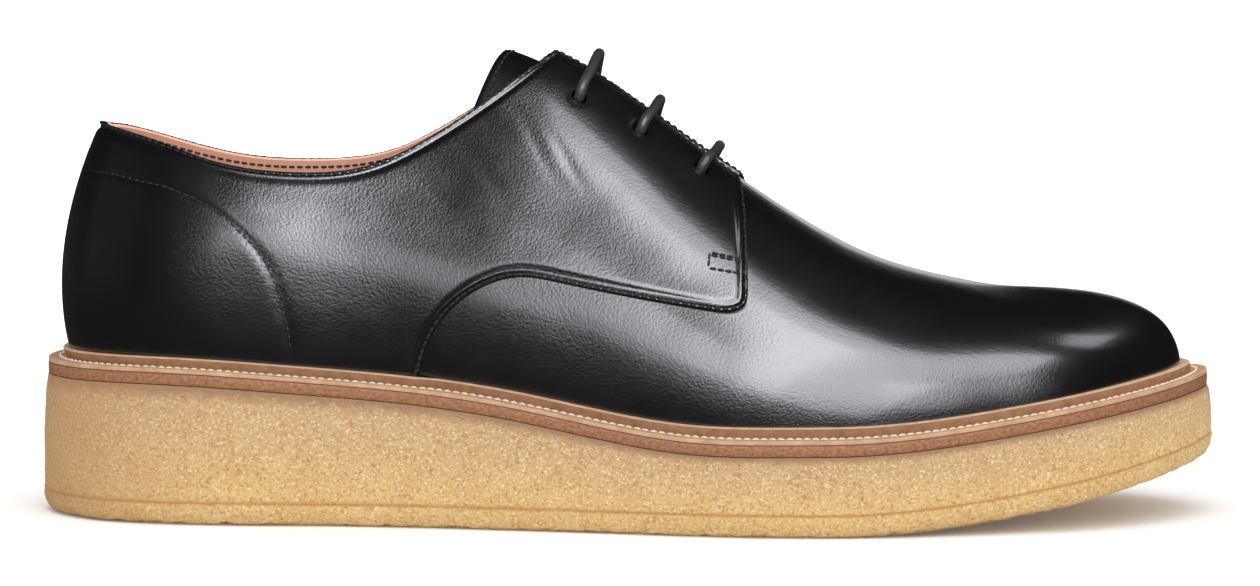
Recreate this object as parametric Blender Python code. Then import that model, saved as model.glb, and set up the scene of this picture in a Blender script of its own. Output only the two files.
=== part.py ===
"""Wedge-heeled derby shoe, the right one, standing empty on a level floor.

Metres, +Z up. The toe points along +X and the outer side of the foot faces -Y. The origin lies on
the floor in the middle of the sole. The upper is a skin over a last: ribs run from the feather
edge, where upper and sole meet, up to a ridge line along the top. Every layer of leather is that
skin, moved out or in along its own normal.
"""
import math
from collections import namedtuple
from functools import lru_cache

import bmesh
import bpy
import numpy as np
from mathutils import Vector

# Last
UPPER_LENGTH = 0.2917
HEEL_WIDTH = 0.0614
BALL_WIDTH = 0.0935
HEEL_RADIUS = 0.0272
TOE_RADIUS = 0.0220
TOE_SWING = 0.0090
INSTEP_HEIGHT = 0.0900
TOE_HEIGHT = 0.0298
BACK_HEIGHT = 0.0643
SPINE_SHARE = 0.72

# Leather
UPPER_WALL = 0.0018
QUARTER_WALL = 0.0013
TONGUE_WALL = 0.0016
INSOLE_THICKNESS = 0.0025
THROAT_GAP = 0.0150
THROAT_END = 0.585
COLLAR_CORNER = 0.06
QUARTER_FRONT = 0.597

# Tongue
TONGUE_FRONT = 0.615
TONGUE_TOP = 0.398
TONGUE_LEAN = 0.014
TONGUE_DIP = 0.25
TONGUE_FRONT_WIDTH = 0.0420
TONGUE_TOP_WIDTH = 0.0560

# Sole
HEEL_RISE = 0.0360
FOREFOOT_RISE = 0.0215
OUTSOLE_THICKNESS = 0.0060
MIDSOLE_THICKNESS = 0.0030
WELT_FLANGE = 0.0009
WELT_UPSTAND = 0.0034
WELT_STEP = 0.03
WELT_WALL_HEEL = 0.0014
WELT_WALL_TOE = 0.0022
HEEL_MARGIN = 0.0082
BALL_MARGIN = 0.0083
TOE_MARGIN = 0.0068
CREPE_BULGE = 0.0013
SOLE_ROUNDING = 0.0050
TOE_SPRING = 0.0148
SPRING_START = 0.690
SPRING_POWER = 1.7

# Laces
LACE_DIAMETER = 0.0028
EYELET_DIAMETER = 0.0044
EYELET_REACH = 0.0182
EYELET_TOP = 0.4570
EYELET_PITCH = 0.0158
EYELET_COUNT = 3
CUTTER_DEPTH = 0.0124
LACE_BEND = 0.0022
BAR_LEAN = 0.0025
BAR_SHARES = (0.72, 0.40)
TAIL_OFFSET = 0.0045
TAIL_PLACES = (0.0, 0.5, 1.0, 1.35)
TAIL_TURN = 1.65
RUN_IN = 1.2

# Clearances
CLEARANCE = 0.0003
OVERLAY_CLEARANCE = 0.0005
INSOLE_CLEARANCE = 0.0006
TONGUE_CLEARANCE = 0.0006
LACE_CLEARANCE = 0.0006

# Fineness of the faceted forms
RIB_COUNT = 72
WALL_ROWS = 11
QUARTER_ROWS = 8
QUARTER_SAMPLES = 14
TONGUE_STATIONS = 12
TONGUE_ROWS = 4
EYELET_SIDES = 12
PARTS_PER_STRETCH = 2
CORD_ROUNDING = 2

# Half-widths of the feather edge: rear rows as shares of the heel width, front rows of the ball width
Side = namedtuple("Side", "along outer inner")
HEEL_SIDES = (
    Side(0.051, 0.400, 0.400),
    Side(0.102, 0.477, 0.477),
    Side(0.171, 0.500, 0.492),
    Side(0.273, 0.508, 0.469),
)
BALL_SIDES = (
    Side(0.375, 0.374, 0.305),
    Side(0.478, 0.428, 0.321),
    Side(0.563, 0.481, 0.385),
    Side(0.631, 0.508, 0.449),
    Side(0.700, 0.503, 0.492),
    Side(0.768, 0.465, 0.503),
    Side(0.836, 0.400, 0.483),
    Side(0.904, 0.318, 0.422),
    Side(0.956, 0.188, 0.312),
)

# Ridge line: rise from toe height (0) to instep height (1), and sideways shift as share of the swing
Ridge = namedtuple("Ridge", "along rise shift")
RIDGE_ROWS = (
    Ridge(0.14, 1.118, 0.00),
    Ridge(0.22, 1.141, 0.00),
    Ridge(0.30, 1.134, 0.05),
    Ridge(0.38, 1.095, 0.10),
    Ridge(0.44, 1.034, 0.18),
    Ridge(0.49, 0.919, 0.25),
    Ridge(0.54, 0.764, 0.32),
    Ridge(0.60, 0.564, 0.42),
    Ridge(0.66, 0.371, 0.52),
    Ridge(0.72, 0.215, 0.64),
    Ridge(0.78, 0.103, 0.76),
    Ridge(0.83, 0.031, 0.84),
    Ridge(0.86, 0.002, 0.89),
)

# Section of each rib: where its two inner control points stand, as shares of its height and reach
Section = namedtuple("Section", "along outer_rise outer_crown outer_bulge inner_rise inner_crown inner_bulge")
SECTION_ROWS = (
    Section(0.00, 0.42, 0.48, 0.31, 0.42, 0.48, 0.31),
    Section(0.15, 0.42, 0.57, 0.25, 0.42, 0.57, 0.22),
    Section(0.30, 0.38, 0.60, 0.20, 0.36, 0.62, 0.28),
    Section(0.45, 0.34, 0.68, 0.12, 0.32, 0.70, 0.38),
    Section(0.55, 0.34, 0.70, 0.08, 0.34, 0.70, 0.25),
    Section(0.65, 0.42, 0.66, 0.05, 0.42, 0.66, 0.10),
    Section(0.75, 0.52, 0.64, 0.04, 0.52, 0.64, 0.05),
    Section(0.85, 0.62, 0.66, 0.03, 0.62, 0.66, 0.03),
    Section(0.93, 0.69, 0.67, 0.02, 0.69, 0.67, 0.02),
    Section(1.00, 0.75, 0.67, 0.00, 0.75, 0.67, 0.00),
)

# Edges seen from the side: heights above the heel's feather edge as shares of the back height
Collar = namedtuple("Collar", "along outer inner")
COLLAR_ROWS = (
    Collar(0.000, 0.992, 0.992),
    Collar(0.025, 0.977, 0.967),
    Collar(0.074, 0.932, 0.892),
    Collar(0.135, 0.845, 0.815),
    Collar(0.211, 0.801, 0.795),
    Collar(0.276, 0.834, 0.834),
    Collar(0.326, 0.940, 0.940),
    Collar(0.376, 1.085, 1.085),
    Collar(0.427, 1.257, 1.257),
    Collar(0.477, 1.422, 1.422),
)
Edge = namedtuple("Edge", "along height")
QUARTER_EDGE_ROWS = (
    Edge(0.3245, 0.082),
    Edge(0.3340, 0.177),
    Edge(0.3470, 0.253),
    Edge(0.3700, 0.333),
    Edge(0.4030, 0.387),
    Edge(0.4470, 0.367),
    Edge(0.5540, 0.280),
    Edge(0.5820, 0.261),
    Edge(0.6010, 0.261),
    Edge(0.6100, 0.285),
    Edge(0.6120, 0.332),
)
QUARTER_FEATHER = 0.316

# Thickness of the crepe from forefoot rise (0) to heel rise (1)
Wedge = namedtuple("Wedge", "along rise")
WEDGE_ROWS = (
    Wedge(0.00, 1.020),
    Wedge(0.06, 1.030),
    Wedge(0.12, 1.000),
    Wedge(0.21, 0.880),
    Wedge(0.33, 0.685),
    Wedge(0.40, 0.495),
    Wedge(0.49, 0.156),
    Wedge(0.56, -0.035),
    Wedge(0.65, -0.060),
    Wedge(0.75, -0.047),
    Wedge(0.88, -0.043),
    Wedge(0.95, -0.090),
    Wedge(1.00, -0.163),
)

# Width of the sole's ledge round the upper
Margin = namedtuple("Margin", "along width")
MARGIN_ROWS = (
    Margin(0.00, HEEL_MARGIN),
    Margin(0.30, HEEL_MARGIN),
    Margin(0.65, BALL_MARGIN),
    Margin(1.00, TOE_MARGIN),
)

# Edges of the crepe from its bottom (0) to its top (1), with the share of the rounding or of the bulge
Level = namedtuple("Level", "height share")
OUTSOLE_LEVELS = (
    Level(0.00, 1.00),
    Level(0.16, 0.30),
    Level(0.66, 0.00),
    Level(1.00, 0.00),
)
WEDGE_LEVELS = (
    Level(0.00, 1.00),
    Level(0.50, 0.90),
    Level(0.88, 0.50),
    Level(1.00, 0.00),
)

FULL_TURN = 2 * math.pi
MID_ALONG = 0.5
LEVEL_CLIMB = 0.10
TOP_CLIMB = 0.999
SHOULDER_CLIMB = 0.3
SIDE_CLIMB = 0.4
RIDGE_CLIMB = 0.75
LARGEST_STEP = 0.15
SMOOTH_ANGLE = math.radians(40)


def smooth_curve(places, values):
    """A natural cubic curve through the points of a table."""
    x = np.array(places, dtype=float)
    y = np.array(values, dtype=float)
    step = np.diff(x)
    count = len(x)
    system = np.eye(count)
    load = np.zeros(count)
    for i in range(1, count - 1):
        system[i, i - 1] = step[i - 1]
        system[i, i] = 2 * (step[i - 1] + step[i])
        system[i, i + 1] = step[i]
        load[i] = 6 * ((y[i + 1] - y[i]) / step[i] - (y[i] - y[i - 1]) / step[i - 1])
    bend = np.linalg.solve(system, load)

    def read(place):
        i = min(max(int(np.searchsorted(x, place)) - 1, 0), count - 2)
        h = step[i]
        before = x[i + 1] - place
        after = place - x[i]
        cubic = (bend[i] * before ** 3 + bend[i + 1] * after ** 3) / (6 * h)
        linear = (y[i] / h - bend[i] * h / 6) * before + (y[i + 1] / h - bend[i + 1] * h / 6) * after
        return float(cubic + linear)

    return read


def closed_curve(places, values, period):
    """A smooth curve through the points that repeats after one period."""
    shifts = (-period, 0.0, period)
    return smooth_curve([p + shift for shift in shifts for p in places], list(values) * len(shifts))


def table_curve(rows, column):
    """A smooth curve through one column of a table, read by the share along the upper."""
    return smooth_curve([row.along for row in rows], [getattr(row, column) for row in rows])


def soft_least(a, b, width):
    """The lesser of two values, with the corner between them rounded over a width."""
    return (a + b - math.sqrt((a - b) ** 2 + width ** 2)) / 2


ridge_rise = table_curve(RIDGE_ROWS, "rise")
ridge_shift = table_curve(RIDGE_ROWS, "shift")
wedge_rise = table_curve(WEDGE_ROWS, "rise")
collar_height = {side: table_curve(COLLAR_ROWS, side) for side in ("outer", "inner")}
section_curves = {name: table_curve(SECTION_ROWS, name) for name in Section._fields[1:]}
sole_margin = table_curve(MARGIN_ROWS, "width")

HEEL_X = -(UPPER_LENGTH + TOE_MARGIN - HEEL_MARGIN) / 2
MID_X = HEEL_X + MID_ALONG * UPPER_LENGTH


def along_of(x):
    """Share along the upper of a place on the X axis."""
    return (x - HEEL_X) / UPPER_LENGTH


def x_of(along):
    return HEEL_X + along * UPPER_LENGTH


def swing(along):
    """How far the middle line of the last curves towards the inner side."""
    return TOE_SWING * along ** 2


def reach_curve():
    """Half-width of the feather edge, divided by the sine of the turn around the last."""
    places = [0.0]
    values = [math.sqrt(HEEL_RADIUS * UPPER_LENGTH / 2)]
    rows = [(row, HEEL_WIDTH) for row in HEEL_SIDES] + [(row, BALL_WIDTH) for row in BALL_SIDES]
    for row, width in rows:
        turn = math.acos(1 - 2 * row.along)
        places.append(turn)
        values.append((row.outer * width + swing(row.along)) / math.sin(turn))
    places.append(math.pi)
    values.append(math.sqrt(TOE_RADIUS * UPPER_LENGTH / 2))
    for row, width in reversed(rows):
        turn = math.acos(1 - 2 * row.along)
        places.append(FULL_TURN - turn)
        values.append((row.inner * width - swing(row.along)) / math.sin(turn))
    return closed_curve(places, values, FULL_TURN)


reach = reach_curve()


def feather_plan(turn):
    """Place of the feather edge in plan. The turn starts at the heel and goes round by the outer side."""
    along = (1 - math.cos(turn)) / 2
    return np.array((x_of(along), swing(along) - math.sin(turn) * reach(turn % FULL_TURN)))


def outward(turn):
    """Unit vector in plan, square to the feather edge and away from the foot."""
    tiny = 1e-4
    ahead = feather_plan(turn + tiny) - feather_plan(turn - tiny)
    return np.array((ahead[1], -ahead[0])) / math.hypot(*ahead)


def sole_plan(turn, beyond):
    """Place of the sole's edge in plan, with an extra step beyond its margin."""
    along = (1 - math.cos(turn)) / 2
    return feather_plan(turn) + outward(turn) * (sole_margin(along) + beyond)


def rib_turns():
    """Turns of the ribs, the same on both sides of the last."""
    return [FULL_TURN * i / RIB_COUNT for i in range(RIB_COUNT)]


TURNS = rib_turns()


def middle_of_sole():
    """Sideways middle of the sole's widest outline."""
    sides = [sole_plan(turn, CREPE_BULGE)[1] for turn in TURNS]
    return (min(sides) + max(sides)) / 2


SOLE_MIDDLE_Y = middle_of_sole()


def spring(x):
    """Height of the sole's underside over the floor."""
    start = x_of(SPRING_START)
    if x <= start:
        return 0.0
    end = x_of(1.0) + TOE_MARGIN
    return TOE_SPRING * ((x - start) / (end - start)) ** SPRING_POWER


def crepe_top(x):
    return spring(x) + FOREFOOT_RISE + (HEEL_RISE - FOREFOOT_RISE) * wedge_rise(along_of(x))


def midsole_top(x):
    return crepe_top(x) + CLEARANCE + MIDSOLE_THICKNESS


def feather_height(x):
    return midsole_top(x) + CLEARANCE


def ridge_height(x):
    return feather_height(x) + TOE_HEIGHT + (INSTEP_HEIGHT - TOE_HEIGHT) * ridge_rise(along_of(x))


def ridge_side(x):
    return TOE_SWING * ridge_shift(along_of(x)) - SOLE_MIDDLE_Y


def ridge_slope(x):
    tiny = 1e-4
    return (ridge_height(x + tiny) - ridge_height(x - tiny)) / (2 * tiny)


@lru_cache(maxsize=None)
def rib(turn):
    """Foot and top of a rib in plan, with its four control heights and reaches."""
    foot = feather_plan(turn) - (0.0, SOLE_MIDDLE_Y)
    along = along_of(foot[0])
    side = side_of(turn)
    rise = section_curves[side + "_rise"](along)
    crown = section_curves[side + "_crown"](along)
    bulge = section_curves[side + "_bulge"](along)
    top_x = MID_X + SPINE_SHARE * (foot[0] - MID_X)
    top = np.array((top_x, ridge_side(top_x)))
    low = feather_height(foot[0])
    high = ridge_height(top_x)
    shoulder = high + ridge_slope(top_x) * crown * (foot[0] - top_x)
    heights = (low, low + rise * (high - low), shoulder, high)
    reaches = (1.0, 1.0 + bulge, crown, 0.0)
    return foot, top, heights, reaches


def skin_point(turn, climb):
    """Point of the last's skin. The climb goes from 0 at the feather edge to 1 at the ridge."""
    foot, top, heights, reaches = rib(turn)
    rest = 1 - climb
    weights = (rest ** 3, 3 * rest ** 2 * climb, 3 * rest * climb ** 2, climb ** 3)
    spread = sum(w * r for w, r in zip(weights, reaches))
    height = sum(w * h for w, h in zip(weights, heights))
    plan = top + (foot - top) * spread
    return np.array((plan[0], plan[1], height))


def skin_normal(turn, climb):
    """Outward normal of the skin. It lies level at the feather edge, so that every layer ends there."""
    if climb > TOP_CLIMB:
        normal = np.array((-ridge_slope(rib(turn)[1][0]), 0.0, 1.0))
        return normal / np.linalg.norm(normal)
    tiny = 1e-4
    low = max(climb - tiny, 0.0)
    around = skin_point(turn + tiny, climb) - skin_point(turn - tiny, climb)
    upward = skin_point(turn, climb + tiny) - skin_point(turn, low)
    normal = np.cross(around, upward)
    normal /= np.linalg.norm(normal)
    normal[2] *= min(climb / LEVEL_CLIMB, 1.0)
    return normal / np.linalg.norm(normal)


@lru_cache(maxsize=None)
def skin(turn, climb, offset):
    """Point at a distance off the skin."""
    return skin_point(turn, climb) + offset * skin_normal(turn, climb)


def bisect(crosses, low, high):
    """The value between low and high where a condition first holds."""
    for _ in range(40):
        middle = (low + high) / 2
        if crosses(middle):
            high = middle
        else:
            low = middle
    return (low + high) / 2


def edge_height(share):
    """Height of a share of the back height over the heel's feather edge."""
    return feather_height(HEEL_X) + BACK_HEIGHT * share


def side_of(turn):
    return "outer" if turn % FULL_TURN <= math.pi else "inner"


def climb_to_collar(turn):
    height = collar_height[side_of(turn)]

    def above(climb):
        point = skin_point(turn, climb)
        return point[2] > edge_height(height(along_of(point[0])))

    return bisect(above, SHOULDER_CLIMB, 1.0) if above(1.0) else 1.0


def climb_to_ridge(turn, distance):
    """Climb at which a rib comes within a distance of its top, seen from above."""
    def near(climb):
        return math.dist(skin_point(turn, climb)[:2], rib(turn)[1]) < distance

    return bisect(near, SHOULDER_CLIMB, 1.0)


@lru_cache(maxsize=None)
def top_climb(turn):
    """Climb of the collar and of the throat's edge."""
    collar = climb_to_collar(turn)
    throat = climb_to_ridge(turn, THROAT_GAP / 2)
    return soft_least(collar, throat, COLLAR_CORNER)


def upper_top_climb(turn):
    """Climb of the upper's own edge, which closes over the vamp."""
    return top_climb(turn) if along_of(rib(turn)[1][0]) < THROAT_END else 1.0


def climb_to_height(turn, height):
    """Climb at which a rib stands a height above the feather edge."""
    foot = rib(turn)[0]
    return bisect(lambda climb: skin_point(turn, climb)[2] > feather_height(foot[0]) + height, 0.0, 0.5)


def turn_of(along, side):
    """Turn of the feather edge at a share along the upper, on the outer or the inner side."""
    turn = math.acos(1 - 2 * along)
    return turn if side == "outer" else FULL_TURN - turn


def turn_of_ridge(along, side):
    """Turn of the rib that ends on the ridge at a share along the upper."""
    return turn_of(MID_ALONG + (along - MID_ALONG) / SPINE_SHARE, side)


def solve_skin(start, wanted):
    """Turn and climb at which two conditions are nil, from a start near them."""
    guess = np.array(start, dtype=float)
    tiny = 1e-5
    for _ in range(20):
        miss = np.array(wanted(*guess))
        slope = np.empty((2, 2))
        for k in range(2):
            moved = guess.copy()
            moved[k] += tiny
            slope[:, k] = (np.array(wanted(*moved)) - miss) / tiny
        step = np.linalg.solve(slope, miss)
        guess -= np.clip(step, -LARGEST_STEP, LARGEST_STEP)
    return float(guess[0]), float(guess[1])


def on_skin_at(along, height, side):
    """Turn and climb of the skin at a place seen from the side."""
    def miss(turn, climb):
        point = skin_point(turn, climb)
        return point[0] - x_of(along), point[2] - height

    return solve_skin((turn_of(along, side), SIDE_CLIMB), miss)


def on_skin_beside_ridge(x, distance, side):
    """Turn and climb of the skin at a place along it and a distance from the ridge."""
    sign = -1 if side == "outer" else 1

    def miss(turn, climb):
        point = skin_point(turn, climb)
        return point[0] - x, point[1] - ridge_side(x) - sign * distance

    return solve_skin((turn_of(along_of(x), side), RIDGE_CLIMB), miss)


# Building blocks
def make_object(name, verts, faces, surface):
    mesh = bpy.data.meshes.new(name)
    mesh.from_pydata([tuple(v) for v in verts], [], faces)
    mesh.validate()
    mesh.materials.append(surface)
    mesh.shade_smooth()
    mesh.set_sharp_from_angle(angle=SMOOTH_ANGLE)
    item = bpy.data.objects.new(name, mesh)
    bpy.context.collection.objects.link(item)
    return item


def material(name, colour, roughness):
    surface = bpy.data.materials.new(name)
    surface.use_nodes = True
    shader = surface.node_tree.nodes["Principled BSDF"]
    shader.inputs["Base Color"].default_value = (*colour, 1.0)
    shader.inputs["Roughness"].default_value = roughness
    shader.inputs["Metallic"].default_value = 0.0
    return surface


def band(low, high):
    """Faces between two closed loops of vertices."""
    count = len(low)
    return [(low[i], low[(i + 1) % count], high[(i + 1) % count], high[i]) for i in range(count)]


def cap(loop):
    """Faces across a closed loop, in strips from side to side. They face up for a loop that turns left."""
    count = len(loop)
    half = count // 2
    faces = [(loop[0], loop[1], loop[-1])]
    faces += [(loop[i], loop[i + 1], loop[count - i - 1], loop[count - i]) for i in range(1, half - 1)]
    faces.append((loop[half - 1], loop[half], loop[half + 1]))
    return faces


def slab_of_loops(name, loops, surface):
    """A solid from closed loops stacked from the bottom to the top."""
    count = len(loops[0])
    verts = [point for loop in loops for point in loop]
    rows = [list(range(k * count, (k + 1) * count)) for k in range(len(loops))]
    faces = [face for low, high in zip(rows, rows[1:]) for face in band(low, high)]
    faces += cap(rows[-1])
    faces += [tuple(reversed(face)) for face in cap(rows[0])]
    return make_object(name, verts, faces, surface)


def ring_of_loops(name, loops, surface):
    """A ring whose section is the closed polygon of its loops."""
    count = len(loops[0])
    verts = [point for loop in loops for point in loop]
    rows = [list(range(k * count, (k + 1) * count)) for k in range(len(loops))]
    faces = [face for low, high in zip(rows, rows[1:] + rows[:1]) for face in band(low, high)]
    return make_object(name, verts, faces, surface)


def sheet_solid(name, outer, inner, surface):
    """A solid between two equal grids of points, with walls along its four edges."""
    rows = len(outer)
    columns = len(outer[0])
    verts = [point for grid in (outer, inner) for row in grid for point in row]

    def at(layer, row, column):
        return (layer * rows + row) * columns + column

    faces = []
    for row in range(rows - 1):
        for column in range(columns - 1):
            corners = ((row, column), (row, column + 1), (row + 1, column + 1), (row + 1, column))
            faces.append(tuple(at(0, *corner) for corner in corners))
            faces.append(tuple(at(1, *corner) for corner in reversed(corners)))
    rim = [(0, c) for c in range(columns)] + [(r, columns - 1) for r in range(1, rows)]
    rim += [(rows - 1, c) for c in range(columns - 2, -1, -1)] + [(r, 0) for r in range(rows - 2, 0, -1)]
    for here, there in zip(rim, rim[1:] + rim[:1]):
        faces.append((at(0, *there), at(0, *here), at(1, *here), at(1, *there)))
    return make_object(name, verts, faces, surface)


def sole_loop(beyond, height):
    """A loop at the sole's edge, with its height worked out from its place along the sole."""
    points = []
    for turn in TURNS:
        x, y = sole_plan(turn, beyond)
        points.append((x, y - SOLE_MIDDLE_Y, height(x)))
    return points


# Sole
def outsole_loops():
    def height_of(level):
        return lambda x: spring(x) + level.height * OUTSOLE_THICKNESS

    return [sole_loop(CREPE_BULGE - level.share * SOLE_ROUNDING, height_of(level)) for level in OUTSOLE_LEVELS]


def wedge_loops():
    def height_of(level):
        def height(x):
            low = spring(x) + OUTSOLE_THICKNESS + CLEARANCE
            return low + level.height * (crepe_top(x) - low)

        return height

    return [sole_loop(level.share * CREPE_BULGE, height_of(level)) for level in WEDGE_LEVELS]


def midsole_loops():
    return [
        sole_loop(0.0, lambda x: crepe_top(x) + CLEARANCE),
        sole_loop(0.0, midsole_top),
    ]


def welt_wall(along):
    return WELT_WALL_HEEL + (WELT_WALL_TOE - WELT_WALL_HEEL) * along


def welt_inner_offset(turn):
    """The welt lies on the quarters where they reach the sole, and on the vamp before them."""
    reaches = rib(turn)[0][0] < x_of(QUARTER_FEATHER + WELT_STEP)
    return OVERLAY_CLEARANCE + QUARTER_WALL + CLEARANCE if reaches else CLEARANCE


def welt_loops():
    """Six corners of an L section: a flange to be stitched and a wall that stands against the upper."""
    corners = [[] for _ in range(6)]
    for turn in TURNS:
        climb = climb_to_height(turn, WELT_UPSTAND)
        inside = welt_inner_offset(turn)
        wall = welt_wall(along_of(rib(turn)[0][0]))
        low_in = skin(turn, 0.0, inside)
        low_out = skin(turn, 0.0, inside + wall)
        edge = sole_plan(turn, 0.0) - (0.0, SOLE_MIDDLE_Y)
        base_in = midsole_top(low_in[0]) + CLEARANCE
        base_out = midsole_top(low_out[0]) + CLEARANCE
        base_edge = midsole_top(edge[0]) + CLEARANCE
        corners[0].append((low_in[0], low_in[1], base_in))
        corners[1].append((edge[0], edge[1], base_edge))
        corners[2].append((edge[0], edge[1], base_edge + WELT_FLANGE))
        corners[3].append((low_out[0], low_out[1], base_out + WELT_FLANGE))
        corners[4].append(skin(turn, climb, inside + wall))
        corners[5].append(skin(turn, climb, inside))
    return corners


def insole_loops():
    inset = UPPER_WALL + INSOLE_CLEARANCE
    low = []
    high = []
    for turn in TURNS:
        x, y = feather_plan(turn) - outward(turn) * inset
        base = midsole_top(x) + CLEARANCE
        low.append((x, y - SOLE_MIDDLE_Y, base))
        high.append((x, y - SOLE_MIDDLE_Y, base + INSOLE_THICKNESS))
    return [low, high]


# Upper
def build_upper(surface):
    """Hollow upper: two skins, joined by rims along the feather edge, the collar and the throat."""
    half = RIB_COUNT // 2
    tops = [upper_top_climb(turn) for turn in TURNS]
    closed = [top == 1.0 for top in tops]
    verts = []
    numbers = {}

    def vertex(layer, i, row):
        i %= RIB_COUNT
        if row == WALL_ROWS and closed[i] and i > half:
            i = RIB_COUNT - i
        key = (layer, i, row)
        if key not in numbers:
            offset = -UPPER_WALL if layer else 0.0
            numbers[key] = len(verts)
            verts.append(skin(TURNS[i], tops[i] * row / WALL_ROWS, offset))
        return numbers[key]

    faces = []
    for i in range(RIB_COUNT):
        for row in range(WALL_ROWS):
            corners = ((i, row), (i + 1, row), (i + 1, row + 1), (i, row + 1))
            faces.append(tuple(vertex(0, *corner) for corner in corners))
            faces.append(tuple(vertex(1, *corner) for corner in reversed(corners)))
        faces.append((vertex(0, i + 1, 0), vertex(0, i, 0), vertex(1, i, 0), vertex(1, i + 1, 0)))
        if not (closed[i] and closed[(i + 1) % RIB_COUNT]):
            top = WALL_ROWS
            faces.append((vertex(0, i, top), vertex(0, i + 1, top), vertex(1, i + 1, top), vertex(1, i, top)))
    return make_object("upper", verts, faces, surface)


def quarter_bottom(side):
    """Turn and climb along the quarter's lower edge, from the back seam to its front corner."""
    corner = turn_of(QUARTER_FEATHER, "outer")
    feather = [turn for turn in TURNS if turn < corner - FULL_TURN / RIB_COUNT / 2] + [corner]
    points = [(turn if side == "outer" else FULL_TURN - turn, 0.0) for turn in feather]
    places = np.array([(QUARTER_FEATHER, edge_share_of_feather())] + [tuple(row) for row in QUARTER_EDGE_ROWS])
    sizes = places * (UPPER_LENGTH, BACK_HEIGHT)
    lengths = np.concatenate(((0.0,), np.cumsum(np.linalg.norm(np.diff(sizes, axis=0), axis=1))))
    along = smooth_curve(lengths, places[:, 0])
    height = smooth_curve(lengths, places[:, 1])
    for k in range(1, QUARTER_SAMPLES + 1):
        place = lengths[-1] * k / QUARTER_SAMPLES
        points.append(on_skin_at(along(place), edge_height(height(place)), side))
    return points


def edge_share_of_feather():
    """Height of the feather edge at the quarter's lower corner, as a share of the back height."""
    return (feather_height(x_of(QUARTER_FEATHER)) - feather_height(HEEL_X)) / BACK_HEIGHT


def quarter_top(bottom, side):
    """Turn and climb along the collar and the throat, one place over each place of the lower edge."""
    last = on_skin_beside_ridge(x_of(QUARTER_FRONT), THROAT_GAP / 2, side)[0]
    first = bottom[0][0]
    stretch = (last - first) / (bottom[-1][0] - first)
    corner = len(bottom) - 1 - QUARTER_SAMPLES
    over = [first + (turn - first) * stretch for turn, _ in bottom[:corner + 1]]
    over += [over[corner] + (last - over[corner]) * k / QUARTER_SAMPLES for k in range(1, QUARTER_SAMPLES + 1)]
    return [(turn, top_climb(turn)) for turn in over]


def build_quarter(side, surface):
    """One quarter: a sheet of leather over the upper, from the back seam to the facing."""
    bottom = quarter_bottom(side)
    top = quarter_top(bottom, side)
    near = OVERLAY_CLEARANCE
    seam = CLEARANCE / 2 / HEEL_WIDTH
    grids = ([], [])
    for row in range(QUARTER_ROWS + 1):
        ratio = row / QUARTER_ROWS
        for grid, offset in zip(grids, (near + QUARTER_WALL, near)):
            line = []
            for (turn_low, climb_low), (turn_high, climb_high) in zip(bottom, top):
                turn = turn_low + ratio * (turn_high - turn_low)
                if turn in (0.0, FULL_TURN):
                    turn += seam if side == "outer" else -seam
                line.append(skin(turn, climb_low + ratio * (climb_high - climb_low), offset))
            grid.append(line if side == "outer" else line[::-1])
    return sheet_solid("quarter_" + side, grids[0], grids[1], surface)


# Tongue and laces
HIDDEN_DEPTH = UPPER_WALL + LACE_CLEARANCE + LACE_DIAMETER / 2
TONGUE_DEPTH = HIDDEN_DEPTH + LACE_DIAMETER / 2 + LACE_CLEARANCE
BAR_HEIGHT = OVERLAY_CLEARANCE + QUARTER_WALL + LACE_CLEARANCE + LACE_DIAMETER / 2


def build_tongue(surface):
    """A sheet under the facings. It starts close under the vamp and dips to leave room for the lace."""
    shallow = UPPER_WALL + TONGUE_CLEARANCE
    grids = ([], [])
    for station in range(TONGUE_STATIONS + 1):
        ratio = station / TONGUE_STATIONS
        along = TONGUE_FRONT + ratio * (TONGUE_TOP - TONGUE_FRONT)
        dip = min(ratio / TONGUE_DIP, 1.0)
        depth = shallow + (TONGUE_DEPTH - shallow) * dip * dip * (3 - 2 * dip)
        width = TONGUE_FRONT_WIDTH + ratio * (TONGUE_TOP_WIDTH - TONGUE_FRONT_WIDTH)
        for grid, offset in zip(grids, (-depth, -depth - TONGUE_WALL)):
            line = []
            for side, steps in (("outer", range(TONGUE_ROWS)), ("inner", range(TONGUE_ROWS, -1, -1))):
                for step in steps:
                    share = step / TONGUE_ROWS
                    turn = turn_of_ridge(along - TONGUE_LEAN * ratio * (1 - share) ** 2, side)
                    edge = climb_to_ridge(turn, width / 2)
                    line.append(skin(turn, edge + (1 - edge) * share, offset))
            grid.append(line)
    return sheet_solid("tongue", grids[0], grids[1], surface)


def eyelet_x(number):
    """Place of an eyelet along the shoe, counted from the top one."""
    return x_of(EYELET_TOP) + number * EYELET_PITCH


def eyelet_place(number, side):
    """Turn and climb of an eyelet."""
    return on_skin_beside_ridge(eyelet_x(number), EYELET_REACH, side)


def beside_ridge(x, distance, offset, side):
    """Point off the skin at a place along it and a distance from the ridge."""
    return skin(*on_skin_beside_ridge(x, distance, side), offset)


def bar_points(number, first, second):
    """Points of one bar over the throat, which leans forward in its middle."""
    points = []
    for side, shares in ((first, BAR_SHARES), (second, BAR_SHARES[::-1])):
        line = []
        for share in shares:
            x = eyelet_x(number) + BAR_LEAN * (1 - share ** 2)
            line.append(beside_ridge(x, share * EYELET_REACH, BAR_HEIGHT, side))
        points.append(line)
    ridge = turn_of_ridge(along_of(eyelet_x(number) + BAR_LEAN), first)
    return points[0] + [skin(ridge, 1.0, BAR_HEIGHT)] + points[1]


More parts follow.
